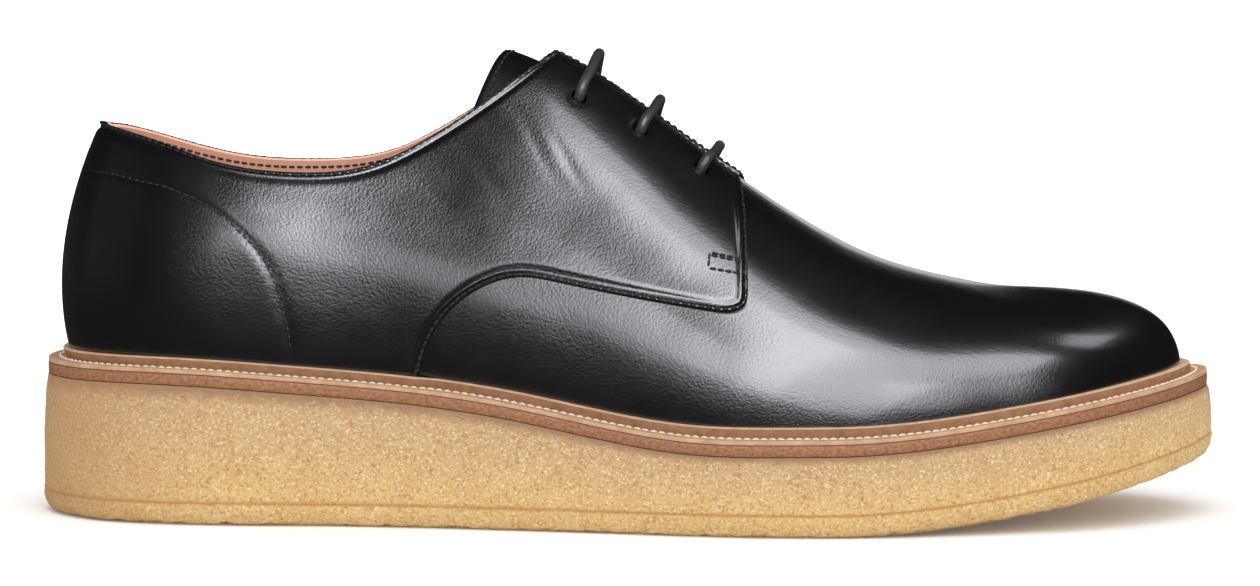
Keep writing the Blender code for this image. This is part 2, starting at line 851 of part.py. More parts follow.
def eyelet_points(number, side, run):
    """Points up through one eyelet: a bend from the hidden run, the hole, and a bend into the bar."""
    x = eyelet_x(number)
    corner = LACE_BEND * (1 - math.sqrt(0.5))
    return [
        beside_ridge(x + RUN_IN * run * LACE_BEND, EYELET_REACH, -HIDDEN_DEPTH, side),
        beside_ridge(x + run * corner, EYELET_REACH, corner - HIDDEN_DEPTH, side),
        beside_ridge(x, EYELET_REACH, LACE_BEND - HIDDEN_DEPTH, side),
        beside_ridge(x, EYELET_REACH, BAR_HEIGHT - LACE_BEND, side),
        beside_ridge(x, EYELET_REACH - corner, BAR_HEIGHT - corner, side),
    ]


def lace_route():
    """Points of the lace: three bars over the throat, joined by runs under the facings."""
    last = EYELET_COUNT - 1
    beyond = EYELET_REACH + TAIL_OFFSET
    side = "inner"
    other = "outer"
    points = [beside_ridge(eyelet_x(place), beyond, -HIDDEN_DEPTH, side) for place in TAIL_PLACES]
    points.append(beside_ridge(eyelet_x(TAIL_TURN), (beyond + EYELET_REACH) / 2, -HIDDEN_DEPTH, side))
    run = -1
    for number in range(last, -1, -1):
        points += eyelet_points(number, side, run)
        points += bar_points(number, side, other)
        run = -1 if number else 1
        points += reversed(eyelet_points(number, other, run))
        points.append(beside_ridge(eyelet_x(number + 0.5 * run), EYELET_REACH, -HIDDEN_DEPTH, other))
        side, other = other, side
        run = 1
    return points


def smooth_route(points, parts):
    """Points of a smooth curve through a route, with the same number of parts in each stretch."""
    lengths = [0.0]
    for before, after in zip(points, points[1:]):
        lengths.append(lengths[-1] + float(np.linalg.norm(after - before)))
    curves = [smooth_curve(lengths, [point[axis] for point in points]) for axis in range(3)]
    places = []
    for before, after in zip(lengths, lengths[1:]):
        places += [before + (after - before) * part / parts for part in range(parts)]
    places.append(lengths[-1])
    return [tuple(curve(place) for curve in curves) for place in places]


def build_laces(surface):
    route = smooth_route(lace_route(), PARTS_PER_STRETCH)
    curve = bpy.data.curves.new("laces", "CURVE")
    curve.dimensions = "3D"
    curve.bevel_depth = LACE_DIAMETER / 2
    curve.bevel_resolution = CORD_ROUNDING
    curve.use_fill_caps = True
    spline = curve.splines.new("POLY")
    spline.points.add(len(route) - 1)
    for point, place in zip(spline.points, route):
        point.co = (*place, 1.0)
    curve.materials.append(surface)
    item = bpy.data.objects.new("laces", curve)
    bpy.context.collection.objects.link(item)
    return item


def build_eyelet_cutter(side):
    """Cylinders square to the facing, one for each eyelet."""
    bm = bmesh.new()
    for number in range(EYELET_COUNT):
        place = eyelet_place(number, side)
        axis = Vector(skin_normal(*place))
        turned = axis.to_track_quat("Z", "Y").to_matrix().to_4x4()
        turned.translation = Vector(skin_point(*place))
        radius = EYELET_DIAMETER / 2
        bmesh.ops.create_cone(
            bm, cap_ends=True, segments=EYELET_SIDES, radius1=radius, radius2=radius, depth=CUTTER_DEPTH, matrix=turned
        )
    mesh = bpy.data.meshes.new("eyelet_cutter_" + side)
    bm.to_mesh(mesh)
    bm.free()
    cutter = bpy.data.objects.new("eyelet_cutter_" + side, mesh)
    cutter.hide_render = True
    cutter.display_type = "WIRE"
    bpy.context.collection.objects.link(cutter)
    return cutter


def cut(item, cutter):
    modifier = item.modifiers.new("Eyelets", "BOOLEAN")
    modifier.operation = "DIFFERENCE"
    modifier.solver = "EXACT"
    modifier.object = cutter


def build_shoe():
    for item in list(bpy.data.objects):
        bpy.data.objects.remove(item, do_unlink=True)
    crepe = material("crepe", (0.565, 0.392, 0.216), 0.85)
    outsole_crepe = material("outsole_crepe", (0.570, 0.380, 0.180), 0.80)
    midsole = material("midsole_leather", (0.366, 0.171, 0.098), 0.60)
    welt = material("welt_leather", (0.546, 0.366, 0.260), 0.75)
    lining = material("lining_leather", (0.610, 0.305, 0.205), 0.65)
    black = material("upper_leather", (0.012, 0.012, 0.013), 0.28)
    cord = material("lace_cord", (0.015, 0.014, 0.014), 0.45)

    slab_of_loops("crepe_outsole", outsole_loops(), outsole_crepe)
    slab_of_loops("crepe_wedge", wedge_loops(), crepe)
    slab_of_loops("leather_midsole", midsole_loops(), midsole)
    ring_of_loops("storm_welt", welt_loops(), welt)
    slab_of_loops("insole", insole_loops(), lining)
    upper = build_upper(black)
    for side in ("outer", "inner"):
        cutter = build_eyelet_cutter(side)
        quarter = build_quarter(side, black)
        cut(quarter, cutter)
        cut(upper, cutter)
    build_tongue(black)
    build_laces(cord)


build_shoe()
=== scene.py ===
"""Looks of the wedge-heeled derby shoe. Metres, toe along +X, the outer side of the foot facing -Y."""
import math
import random
from collections import namedtuple

import bmesh
import bpy
import numpy as np
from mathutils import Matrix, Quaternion, Vector, noise
from mathutils.bvhtree import BVHTree
from mathutils.kdtree import KDTree


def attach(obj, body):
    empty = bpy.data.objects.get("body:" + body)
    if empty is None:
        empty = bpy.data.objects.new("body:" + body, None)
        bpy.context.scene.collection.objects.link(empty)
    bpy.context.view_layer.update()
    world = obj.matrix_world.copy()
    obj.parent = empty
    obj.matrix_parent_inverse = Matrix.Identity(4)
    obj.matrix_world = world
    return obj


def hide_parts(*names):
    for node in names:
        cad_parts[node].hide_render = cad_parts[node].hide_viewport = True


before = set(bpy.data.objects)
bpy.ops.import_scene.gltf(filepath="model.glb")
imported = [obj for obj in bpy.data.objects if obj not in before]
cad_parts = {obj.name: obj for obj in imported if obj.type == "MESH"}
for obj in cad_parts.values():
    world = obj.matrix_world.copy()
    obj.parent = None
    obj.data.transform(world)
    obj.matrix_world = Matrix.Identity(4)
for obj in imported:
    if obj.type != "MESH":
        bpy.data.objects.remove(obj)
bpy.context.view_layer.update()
random.seed(7)

# Sizes of the last and of its layers, the same as in the part's source
UPPER_LENGTH = 0.2917
HEEL_WIDTH = 0.0614
BALL_WIDTH = 0.0935
HEEL_RADIUS = 0.0272
TOE_RADIUS = 0.0220
TOE_SWING = 0.0090
INSTEP_HEIGHT = 0.0900
TOE_HEIGHT = 0.0298
BACK_HEIGHT = 0.0643
SPINE_SHARE = 0.72
UPPER_WALL = 0.0018
QUARTER_WALL = 0.0013
TONGUE_WALL = 0.0016
INSOLE_THICKNESS = 0.0025
THROAT_GAP = 0.0150
THROAT_END = 0.585
COLLAR_CORNER = 0.06
QUARTER_FRONT = 0.597
TONGUE_FRONT = 0.615
TONGUE_TOP = 0.398
TONGUE_LEAN = 0.014
TONGUE_DIP = 0.25
TONGUE_FRONT_WIDTH = 0.0420
TONGUE_TOP_WIDTH = 0.0560
HEEL_RISE = 0.0360
FOREFOOT_RISE = 0.0215
OUTSOLE_THICKNESS = 0.0060
MIDSOLE_THICKNESS = 0.0030
WELT_FLANGE = 0.0009
WELT_UPSTAND = 0.0034
WELT_WALL_HEEL = 0.0014
WELT_WALL_TOE = 0.0022
HEEL_MARGIN = 0.0082
BALL_MARGIN = 0.0083
TOE_MARGIN = 0.0068
CREPE_BULGE = 0.0013
SOLE_ROUNDING = 0.0050
TOE_SPRING = 0.0148
SPRING_START = 0.690
SPRING_POWER = 1.7
LACE_DIAMETER = 0.0028
EYELET_DIAMETER = 0.0044
EYELET_REACH = 0.0182
EYELET_TOP = 0.4570
EYELET_PITCH = 0.0158
EYELET_COUNT = 3
LACE_BEND = 0.0022
BAR_LEAN = 0.0025
CLEARANCE = 0.0003
OVERLAY_CLEARANCE = 0.0005
INSOLE_CLEARANCE = 0.0006
TONGUE_CLEARANCE = 0.0006
LACE_CLEARANCE = 0.0006
RIB_COUNT = 72
QUARTER_FEATHER = 0.316

Side = namedtuple("Side", "along outer inner")
HEEL_SIDES = (
    Side(0.051, 0.400, 0.400),
    Side(0.102, 0.477, 0.477),
    Side(0.171, 0.500, 0.492),
    Side(0.273, 0.508, 0.469),
)
BALL_SIDES = (
    Side(0.375, 0.374, 0.305),
    Side(0.478, 0.428, 0.321),
    Side(0.563, 0.481, 0.385),
    Side(0.631, 0.508, 0.449),
    Side(0.700, 0.503, 0.492),
    Side(0.768, 0.465, 0.503),
    Side(0.836, 0.400, 0.483),
    Side(0.904, 0.318, 0.422),
    Side(0.956, 0.188, 0.312),
)
Ridge = namedtuple("Ridge", "along rise shift")
RIDGE_ROWS = (
    Ridge(0.14, 1.118, 0.00),
    Ridge(0.22, 1.141, 0.00),
    Ridge(0.30, 1.134, 0.05),
    Ridge(0.38, 1.095, 0.10),
    Ridge(0.44, 1.034, 0.18),
    Ridge(0.49, 0.919, 0.25),
    Ridge(0.54, 0.764, 0.32),
    Ridge(0.60, 0.564, 0.42),
    Ridge(0.66, 0.371, 0.52),
    Ridge(0.72, 0.215, 0.64),
    Ridge(0.78, 0.103, 0.76),
    Ridge(0.83, 0.031, 0.84),
    Ridge(0.86, 0.002, 0.89),
)
Section = namedtuple(
    "Section", "along outer_rise outer_crown outer_bulge inner_rise inner_crown inner_bulge"
)
SECTION_ROWS = (
    Section(0.00, 0.42, 0.48, 0.31, 0.42, 0.48, 0.31),
    Section(0.15, 0.42, 0.57, 0.25, 0.42, 0.57, 0.22),
    Section(0.30, 0.38, 0.60, 0.20, 0.36, 0.62, 0.28),
    Section(0.45, 0.34, 0.68, 0.12, 0.32, 0.70, 0.38),
    Section(0.55, 0.34, 0.70, 0.08, 0.34, 0.70, 0.25),
    Section(0.65, 0.42, 0.66, 0.05, 0.42, 0.66, 0.10),
    Section(0.75, 0.52, 0.64, 0.04, 0.52, 0.64, 0.05),
    Section(0.85, 0.62, 0.66, 0.03, 0.62, 0.66, 0.03),
    Section(0.93, 0.69, 0.67, 0.02, 0.69, 0.67, 0.02),
    Section(1.00, 0.75, 0.67, 0.00, 0.75, 0.67, 0.00),
)
Collar = namedtuple("Collar", "along outer inner")
COLLAR_ROWS = (
    Collar(0.000, 0.992, 0.992),
    Collar(0.025, 0.977, 0.967),
    Collar(0.074, 0.932, 0.892),
    Collar(0.135, 0.845, 0.815),
    Collar(0.211, 0.801, 0.795),
    Collar(0.276, 0.834, 0.834),
    Collar(0.326, 0.940, 0.940),
    Collar(0.376, 1.085, 1.085),
    Collar(0.427, 1.257, 1.257),
    Collar(0.477, 1.422, 1.422),
)
Edge = namedtuple("Edge", "along height")
QUARTER_EDGE_ROWS = (
    Edge(0.3245, 0.082),
    Edge(0.3340, 0.177),
    Edge(0.3470, 0.253),
    Edge(0.3700, 0.333),
    Edge(0.4030, 0.387),
    Edge(0.4470, 0.367),
    Edge(0.5540, 0.280),
    Edge(0.5820, 0.261),
    Edge(0.6010, 0.261),
    Edge(0.6100, 0.285),
    Edge(0.6120, 0.332),
)
Wedge = namedtuple("Wedge", "along rise")
WEDGE_ROWS = (
    Wedge(0.00, 1.020),
    Wedge(0.06, 1.030),
    Wedge(0.12, 1.000),
    Wedge(0.21, 0.880),
    Wedge(0.33, 0.685),
    Wedge(0.40, 0.495),
    Wedge(0.49, 0.156),
    Wedge(0.56, -0.035),
    Wedge(0.65, -0.060),
    Wedge(0.75, -0.047),
    Wedge(0.88, -0.043),
    Wedge(0.95, -0.090),
    Wedge(1.00, -0.163),
)

# How finely each piece is divided
WALL_RIBS = 288
WALL_ROWS = 56
QUARTER_ROWS = 72
SOLE_PARTS = 1000
MIDSOLE_PARTS = 720
WEDGE_LAYERS = 28
WELT_PARTS = 900
WELT_STITCH_POINTS = 2400
INSOLE_PARTS = 240
LACE_STEP = 0.00022
LACE_SIDES = 32
EDGE_STEPS = (0.0, 0.0002, 0.0004, 0.0007, 0.0011)
EDGE_BAND = 0.0018
LINE_STEP = 0.0006
COUNTER_STEP = 0.0002
LAST_BAND = 0.0016
QUARTER_DEPTH = 0.060
CUTTER_DEPTH = 0.012
CUTTER_SIDES = 28

# Thread on the upper
STITCH_INSET = 0.0018
LEAST_INSET = 0.7 * STITCH_INSET
STITCH_PITCH = 0.00215
STITCH_LENGTH = 0.00180
STITCH_RADIUS = 0.00034
STITCH_LIFT = 0.00005
COUNTER_STITCH_RADIUS = 0.9 * STITCH_RADIUS
COUNTER_STITCH_LIFT = 0.00003
COLLAR_STITCH_END = 0.425
COLLAR_STITCH_POINTS = 1400

# Thread on the welt
WELT_PITCH = 0.00222
WELT_STITCH_LENGTH = 0.00192
WELT_STITCH_RADIUS = 0.00034
WELT_STITCH_INSET = 0.0016
WELT_STITCH_LIFT = 0.0001
WELT_STITCH_SLANT = 0.00012

# Grooves, folds and soft unevenness of the leather
STITCH_BED_WIDTH = 0.0008
STITCH_BED_DEPTH = 0.00055
COUNTER_BED_DEPTH = 0.00026
SEAM_BED_DEPTH = 0.00035
FINE_BED_WIDTH = 0.0007
DIMPLE_WIDTH = 0.0009
DIMPLE_DEPTH = 0.0002
INNER_CREASES = 0.7
INNER_SHIFT = (0.006, 0.0, -0.003)
CREASE_WAVE = 0.0015
CREASE_WAVE_REACH = 0.006
UPPER_SWELL = 0.00022
QUARTER_SWELL = 0.00020

# Edges and surfaces of the pieces
EDGE_ROUNDING = 0.0007
QUARTER_UNDERSIDE = 0.00005
BACK_SEAM_GAP = 0.00002
BACK_SEAM_END = -0.10
TONGUE_EDGE = 0.0008
TONGUE_LENGTH = 0.0640
WELT_BLEND = 0.006
WELT_ROUND = 0.00018
CREPE_ROUGHNESS = 0.00016
MIDSOLE_ROUGHNESS = 0.00006
WELT_ROUGHNESS = 0.00005

# Lace
LACE_RUN_BEYOND = 0.0045
BAR_SHARES = (0.72, 0.40)
BRAID_PITCH = 0.0048
BRAID_STRANDS = 4

FULL_TURN = 2 * math.pi
MID_ALONG = 0.5
HALVINGS = 34
SOLVER_STEPS = 14
LARGEST_STEP = 0.15
SIDE_CLIMB = 0.4
RIDGE_CLIMB = 0.75
TOP_CLIMB = 0.999
FOOT_CLIMB = 0.10


def lengths_along(points):
    """Length of a line up to each of its points."""
    return np.concatenate(((0.0,), np.cumsum(np.linalg.norm(np.diff(points, axis=0), axis=1))))


# The last's surface, for arrays of turns and climbs
def smooth_curve(places, values):
    """A natural cubic curve through the points of a table."""
    x = np.array(places, dtype=float)
    y = np.array(values, dtype=float)
    step = np.diff(x)
    count = len(x)
    system = np.eye(count)
    load = np.zeros(count)
    for i in range(1, count - 1):
        system[i, i - 1] = step[i - 1]
        system[i, i] = 2 * (step[i - 1] + step[i])
        system[i, i + 1] = step[i]
        load[i] = 6 * ((y[i + 1] - y[i]) / step[i] - (y[i] - y[i - 1]) / step[i - 1])
    bend = np.linalg.solve(system, load)

    def read(place):
        place = np.asarray(place, dtype=float)
        i = np.clip(np.searchsorted(x, place) - 1, 0, count - 2)
        h = step[i]
        before = x[i + 1] - place
        after = place - x[i]
        cubic = (bend[i] * before ** 3 + bend[i + 1] * after ** 3) / (6 * h)
        return cubic + (y[i] / h - bend[i] * h / 6) * before + (y[i + 1] / h - bend[i + 1] * h / 6) * after

    return read


def table_curve(rows, column):
    return smooth_curve([row.along for row in rows], [getattr(row, column) for row in rows])


ridge_rise = table_curve(RIDGE_ROWS, "rise")
ridge_shift = table_curve(RIDGE_ROWS, "shift")
wedge_rise = table_curve(WEDGE_ROWS, "rise")
collar_height = {side: table_curve(COLLAR_ROWS, side) for side in ("outer", "inner")}
section_curves = {name: table_curve(SECTION_ROWS, name) for name in Section._fields[1:]}
sole_margin = smooth_curve((0.0, 0.3, 0.65, 1.0), (HEEL_MARGIN, HEEL_MARGIN, BALL_MARGIN, TOE_MARGIN))
HEEL_X = -(UPPER_LENGTH + TOE_MARGIN - HEEL_MARGIN) / 2
MID_X = HEEL_X + MID_ALONG * UPPER_LENGTH


def along_of(x):
    return (x - HEEL_X) / UPPER_LENGTH


def x_of(along):
    return HEEL_X + along * UPPER_LENGTH


def swing(along):
    return TOE_SWING * along ** 2


def reach_curve():
    """Half-width of the feather edge, divided by the sine of the turn around the last."""
    places = [0.0]
    values = [math.sqrt(HEEL_RADIUS * UPPER_LENGTH / 2)]
    rows = [(row, HEEL_WIDTH) for row in HEEL_SIDES] + [(row, BALL_WIDTH) for row in BALL_SIDES]
    for row, width in rows:
        turn = math.acos(1 - 2 * row.along)
        places.append(turn)
        values.append((row.outer * width + swing(row.along)) / math.sin(turn))
    places.append(math.pi)
    values.append(math.sqrt(TOE_RADIUS * UPPER_LENGTH / 2))
    for row, width in reversed(rows):
        turn = math.acos(1 - 2 * row.along)
        places.append(FULL_TURN - turn)
        values.append((row.inner * width - swing(row.along)) / math.sin(turn))
    shifts = (-FULL_TURN, 0.0, FULL_TURN)
    return smooth_curve([p + shift for shift in shifts for p in places], values * len(shifts))


reach = reach_curve()


def feather_plan(turn):
    along = (1 - np.cos(turn)) / 2
    return np.stack((x_of(along), swing(along) - np.sin(turn) * reach(turn % FULL_TURN)), axis=-1)


def outward(turn):
    tiny = 1e-4
    ahead = feather_plan(turn + tiny) - feather_plan(turn - tiny)
    return np.stack((ahead[..., 1], -ahead[..., 0]), axis=-1) / np.linalg.norm(ahead, axis=-1)[..., None]


def raw_sole_plan(turn, beyond):
    along = (1 - np.cos(turn)) / 2
    return feather_plan(turn) + outward(turn) * (sole_margin(along) + beyond)[..., None]


COARSE_SIDES = raw_sole_plan(FULL_TURN * np.arange(RIB_COUNT) / RIB_COUNT, CREPE_BULGE)[:, 1]
SOLE_MIDDLE = np.array((0.0, (COARSE_SIDES.min() + COARSE_SIDES.max()) / 2))


def sole_plan(turn, beyond):
    return raw_sole_plan(turn, beyond) - SOLE_MIDDLE


def spring(x):
    start = x_of(SPRING_START)
    end = x_of(1.0) + TOE_MARGIN
    return TOE_SPRING * (np.maximum(x - start, 0.0) / (end - start)) ** SPRING_POWER


def crepe_top(x):
    return spring(x) + FOREFOOT_RISE + (HEEL_RISE - FOREFOOT_RISE) * wedge_rise(along_of(x))


def midsole_top(x):
    return crepe_top(x) + CLEARANCE + MIDSOLE_THICKNESS


def feather_height(x):
    return midsole_top(x) + CLEARANCE


def ridge_height(x):
    return feather_height(x) + TOE_HEIGHT + (INSTEP_HEIGHT - TOE_HEIGHT) * ridge_rise(along_of(x))


def ridge_side(x):
    return TOE_SWING * ridge_shift(along_of(x)) - SOLE_MIDDLE[1]


def ridge_slope(x):
    tiny = 1e-4
    return (ridge_height(x + tiny) - ridge_height(x - tiny)) / (2 * tiny)


def rib(turn):
    """Foot and top of each rib in plan, with its four control heights and reaches."""
    foot = feather_plan(turn) - SOLE_MIDDLE
    along = along_of(foot[..., 0])
    is_outer = turn % FULL_TURN <= math.pi

    def share(name):
        outer = section_curves["outer_" + name](along)
        return np.where(is_outer, outer, section_curves["inner_" + name](along))

    crown = share("crown")
    top_x = MID_X + SPINE_SHARE * (foot[..., 0] - MID_X)
    top = np.stack((top_x, ridge_side(top_x)), axis=-1)
    low = feather_height(foot[..., 0])
    high = ridge_height(top_x)
    shoulder = high + ridge_slope(top_x) * crown * (foot[..., 0] - top_x)
    heights = (low, low + share("rise") * (high - low), shoulder, high)
    reaches = (np.ones_like(crown), 1.0 + share("bulge"), crown, np.zeros_like(crown))
    return foot, top, heights, reaches


def skin_point(turn, climb):
    turn = np.asarray(turn, dtype=float)
    climb = np.asarray(climb, dtype=float)
    foot, top, heights, reaches = rib(turn)
    rest = 1 - climb
    weights = (rest ** 3, 3 * rest ** 2 * climb, 3 * rest * climb ** 2, climb ** 3)
    spread = sum(w * r for w, r in zip(weights, reaches))
    height = sum(w * h for w, h in zip(weights, heights))
    plan = top + (foot - top) * spread[..., None]
    return np.concatenate((plan, height[..., None]), axis=-1)


def unit(vectors):
    return vectors / np.linalg.norm(vectors, axis=-1)[..., None]


def skin_normal(turn, climb):
    """The last's outward direction, level at the feather edge and square to the ridge at the top."""
    turn = np.asarray(turn, dtype=float)
    climb = np.asarray(climb, dtype=float)
    tiny = 1e-4
    inside = np.minimum(climb, TOP_CLIMB)
    around = skin_point(turn + tiny, inside) - skin_point(turn - tiny, inside)
    upward = skin_point(turn, inside + tiny) - skin_point(turn, np.maximum(inside - tiny, 0.0))
    normal = unit(np.cross(around, upward))
    normal[..., 2] *= np.minimum(climb / FOOT_CLIMB, 1.0)
    slope = ridge_slope(rib(turn)[1][..., 0])
    over = np.stack((-slope, np.zeros_like(slope), np.ones_like(slope)), axis=-1)
    return unit(np.where((climb > TOP_CLIMB)[..., None], over, normal))


def skin(turn, climb, offset):
    turn, climb, offset = np.broadcast_arrays(*(np.asarray(v, dtype=float) for v in (turn, climb, offset)))
    return skin_point(turn, climb) + offset[..., None] * skin_normal(turn, climb)


def bisect(crosses, low, high):
    """The values between low and high where a condition first holds, for arrays."""
    for _ in range(HALVINGS):
        middle = (low + high) / 2
        over = crosses(middle)
        high = np.where(over, middle, high)
        low = np.where(over, low, middle)
    return (low + high) / 2


def edge_height(share):
    return feather_height(HEEL_X) + BACK_HEIGHT * share


def climb_to_collar(turn):
    def above(climb):
        point = skin_point(turn, climb)
        along = along_of(point[..., 0])
        outer = turn % FULL_TURN <= math.pi
        share = np.where(outer, collar_height["outer"](along), collar_height["inner"](along))
        return point[..., 2] > edge_height(share)

    found = bisect(above, np.full_like(turn, 0.3), np.ones_like(turn))
    return np.where(above(np.ones_like(turn)), found, 1.0)


def climb_to_ridge(turn, distance):
    turn = np.asarray(turn, dtype=float)
    top = rib(turn)[1]

    def near(climb):
        return np.linalg.norm(skin_point(turn, climb)[..., :2] - top, axis=-1) < distance

    return bisect(near, np.full_like(turn, 0.3), np.ones_like(turn))


def top_climb(turn):
    collar = climb_to_collar(turn)
    throat = climb_to_ridge(turn, THROAT_GAP / 2)
    return (collar + throat - np.sqrt((collar - throat) ** 2 + COLLAR_CORNER ** 2)) / 2


def climb_to_height(turn, height):
    level = feather_height(rib(turn)[0][..., 0]) + height

    def above(climb):
        return skin_point(turn, climb)[..., 2] > level

    return bisect(above, np.zeros_like(turn), np.full_like(turn, 0.5))


def turn_of(along, side):
    turn = np.arccos(1 - 2 * np.asarray(along, dtype=float))
    return turn if side == "outer" else FULL_TURN - turn


def turn_of_ridge(along, side):
    return turn_of(MID_ALONG + (along - MID_ALONG) / SPINE_SHARE, side)


def solve_skin(turn, climb, wanted):
    """Turns and climbs at which two conditions are nil, by Newton's steps from a start near them."""
    tiny = 1e-5
    for _ in range(SOLVER_STEPS):
        miss = np.stack(wanted(turn, climb), axis=-1)
        by_turn = (np.stack(wanted(turn + tiny, climb), axis=-1) - miss) / tiny
        by_climb = (np.stack(wanted(turn, climb + tiny), axis=-1) - miss) / tiny
        step = np.linalg.solve(np.stack((by_turn, by_climb), axis=-1), miss[..., None])[..., 0]
        step = np.clip(step, -LARGEST_STEP, LARGEST_STEP)
        turn = turn - step[..., 0]
        climb = climb - step[..., 1]
    return turn, climb


def on_skin_at(x, height, side):
    x, height = np.broadcast_arrays(np.asarray(x, dtype=float), np.asarray(height, dtype=float))

    def miss(turn, climb):
        point = skin_point(turn, climb)
        return point[..., 0] - x, point[..., 2] - height

    return solve_skin(turn_of(along_of(x), side), np.full_like(x, SIDE_CLIMB), miss)


def on_skin_beside_ridge(x, distance, side):
    x, distance = np.broadcast_arrays(np.asarray(x, dtype=float), np.asarray(distance, dtype=float))
    sign = -1 if side == "outer" else 1

    def miss(turn, climb):
        point = skin_point(turn, climb)
        return point[..., 0] - x, point[..., 1] - ridge_side(x) - sign * distance

    return solve_skin(turn_of(along_of(x), side), np.full_like(x, RIDGE_CLIMB), miss)


# Mesh building
def make_piece(name, verts, faces, surfaces, slots=None, smooth_angle=40, uvs=None):
    mesh = bpy.data.meshes.new(name)
    mesh.from_pydata([tuple(map(float, v)) for v in verts], [], faces)
    for surface in surfaces:
        mesh.materials.append(surface)
    if slots is not None:
        mesh.polygons.foreach_set("material_index", slots)
    if uvs is not None:
        layer = mesh.uv_layers.new(name="UVMap")
        index = np.empty(len(mesh.loops), dtype=np.int32)
        mesh.loops.foreach_get("vertex_index", index)
        layer.data.foreach_set("uv", np.asarray(uvs, dtype=np.float32)[index].ravel())
    mesh.validate()
    mesh.shade_smooth()
    mesh.set_sharp_from_angle(angle=math.radians(smooth_angle))
    item = bpy.data.objects.new(name, mesh)
    bpy.context.collection.objects.link(item)
    return item


def place(item, slot, *nodes):
    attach(item, "root")
    if nodes:
        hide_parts(*nodes)
    return item


def ring_faces(low, high):
    count = len(low)
    return [(low[i], low[(i + 1) % count], high[(i + 1) % count], high[i]) for i in range(count)]


def cap(loop):
    count = len(loop)
    half = count // 2
    faces = [(loop[0], loop[1], loop[-1])]
    faces += [(loop[i], loop[i + 1], loop[count - i - 1], loop[count - i]) for i in range(1, half - 1)]
    faces.append((loop[half - 1], loop[half], loop[half + 1]))
    return faces


def stacked(rows):
    """Vertices of rows of one length, and the numbers of each row's vertices."""
    count = len(rows[0])
    return np.concatenate(rows), [list(range(k * count, (k + 1) * count)) for k in range(len(rows))]


def tube_faces(loops):
    return [face for low, high in zip(loops, loops[1:]) for face in ring_faces(low, high)]


def slab_faces(loops):
    """Faces of a closed slab: its side, its top and its underside."""
    return tube_faces(loops) + cap(loops[-1]) + [tuple(reversed(face)) for face in cap(loops[0])]


def sheet_faces(rows, columns):
    """Faces of a sheet between two grids, front and back in turn and then the rim, and the rim's start."""

    def at(layer, row, column):
        return (layer * rows + row) * columns + column

    faces = []
    for row in range(rows - 1):
        for column in range(columns - 1):
            corners = ((row, column), (row, column + 1), (row + 1, column + 1), (row + 1, column))
            faces.append(tuple(at(0, *c) for c in corners))
            faces.append(tuple(at(1, *c) for c in reversed(corners)))
    flat = len(faces)
    rim = [(0, c) for c in range(columns)] + [(r, columns - 1) for r in range(1, rows)]
    rim += [(rows - 1, c) for c in range(columns - 2, -1, -1)] + [(r, 0) for r in range(rows - 2, 0, -1)]
    for here, there in zip(rim, rim[1:] + rim[:1]):
        faces.append((at(0, *there), at(0, *here), at(1, *here), at(1, *there)))
    return faces, flat


def front_tree(verts, faces, flat):
    """Search tree of a sheet's front."""
    return BVHTree.FromPolygons([Vector(v) for v in verts[:len(verts) // 2]], faces[:flat:2])


def dent(distance, width):
    """Depth of a soft groove or pit at a distance from its middle, as a share of its full depth."""
    return np.exp(-(distance / width) ** 2)


def even_turns(count):
    """Turns that divide the sole's edge into equal lengths, and the length at each."""
    fine = np.linspace(0.0, FULL_TURN, 6001)
    plan = sole_plan(fine, np.zeros_like(fine))
    length = lengths_along(plan)
    wanted = length[-1] * np.arange(count) / count
    return np.interp(wanted, length, fine), wanted


def noise_at(points, scale, seed=0.0):
    """Smooth noise from -1 to 1 at each point."""
    shift = Vector((seed * 17.3, seed * 5.1, seed * 9.7))
    values = [noise.noise(Vector(p) * scale + shift) for p in points.reshape(-1, 3)]
    return np.array(values).reshape(points.shape[:-1])


def near_distance(points, targets):
    tree = KDTree(len(targets))
    for i, target in enumerate(targets):
        tree.insert(Vector(target), i)
    tree.balance()
    gaps = [tree.find(Vector(p))[2] for p in points.reshape(-1, 3)]
    return np.array(gaps).reshape(points.shape[:-1])


def dense(points, step=0.0001):
    """A polyline's points, closer than a step."""
    points = np.asarray(points)
    length = lengths_along(points)
    wanted = np.linspace(0.0, length[-1], max(int(length[-1] / step), 2))
    return np.stack([np.interp(wanted, length, points[:, k]) for k in range(3)], axis=-1)


# Materials
def linear(red, green, blue):
    """Scene-linear colour from the 0 to 255 values of a screen colour."""
    shares = [c / 255 for c in (red, green, blue)]
    return tuple(c / 12.92 if c <= 0.04045 else ((c + 0.055) / 1.055) ** 2.4 for c in shares)


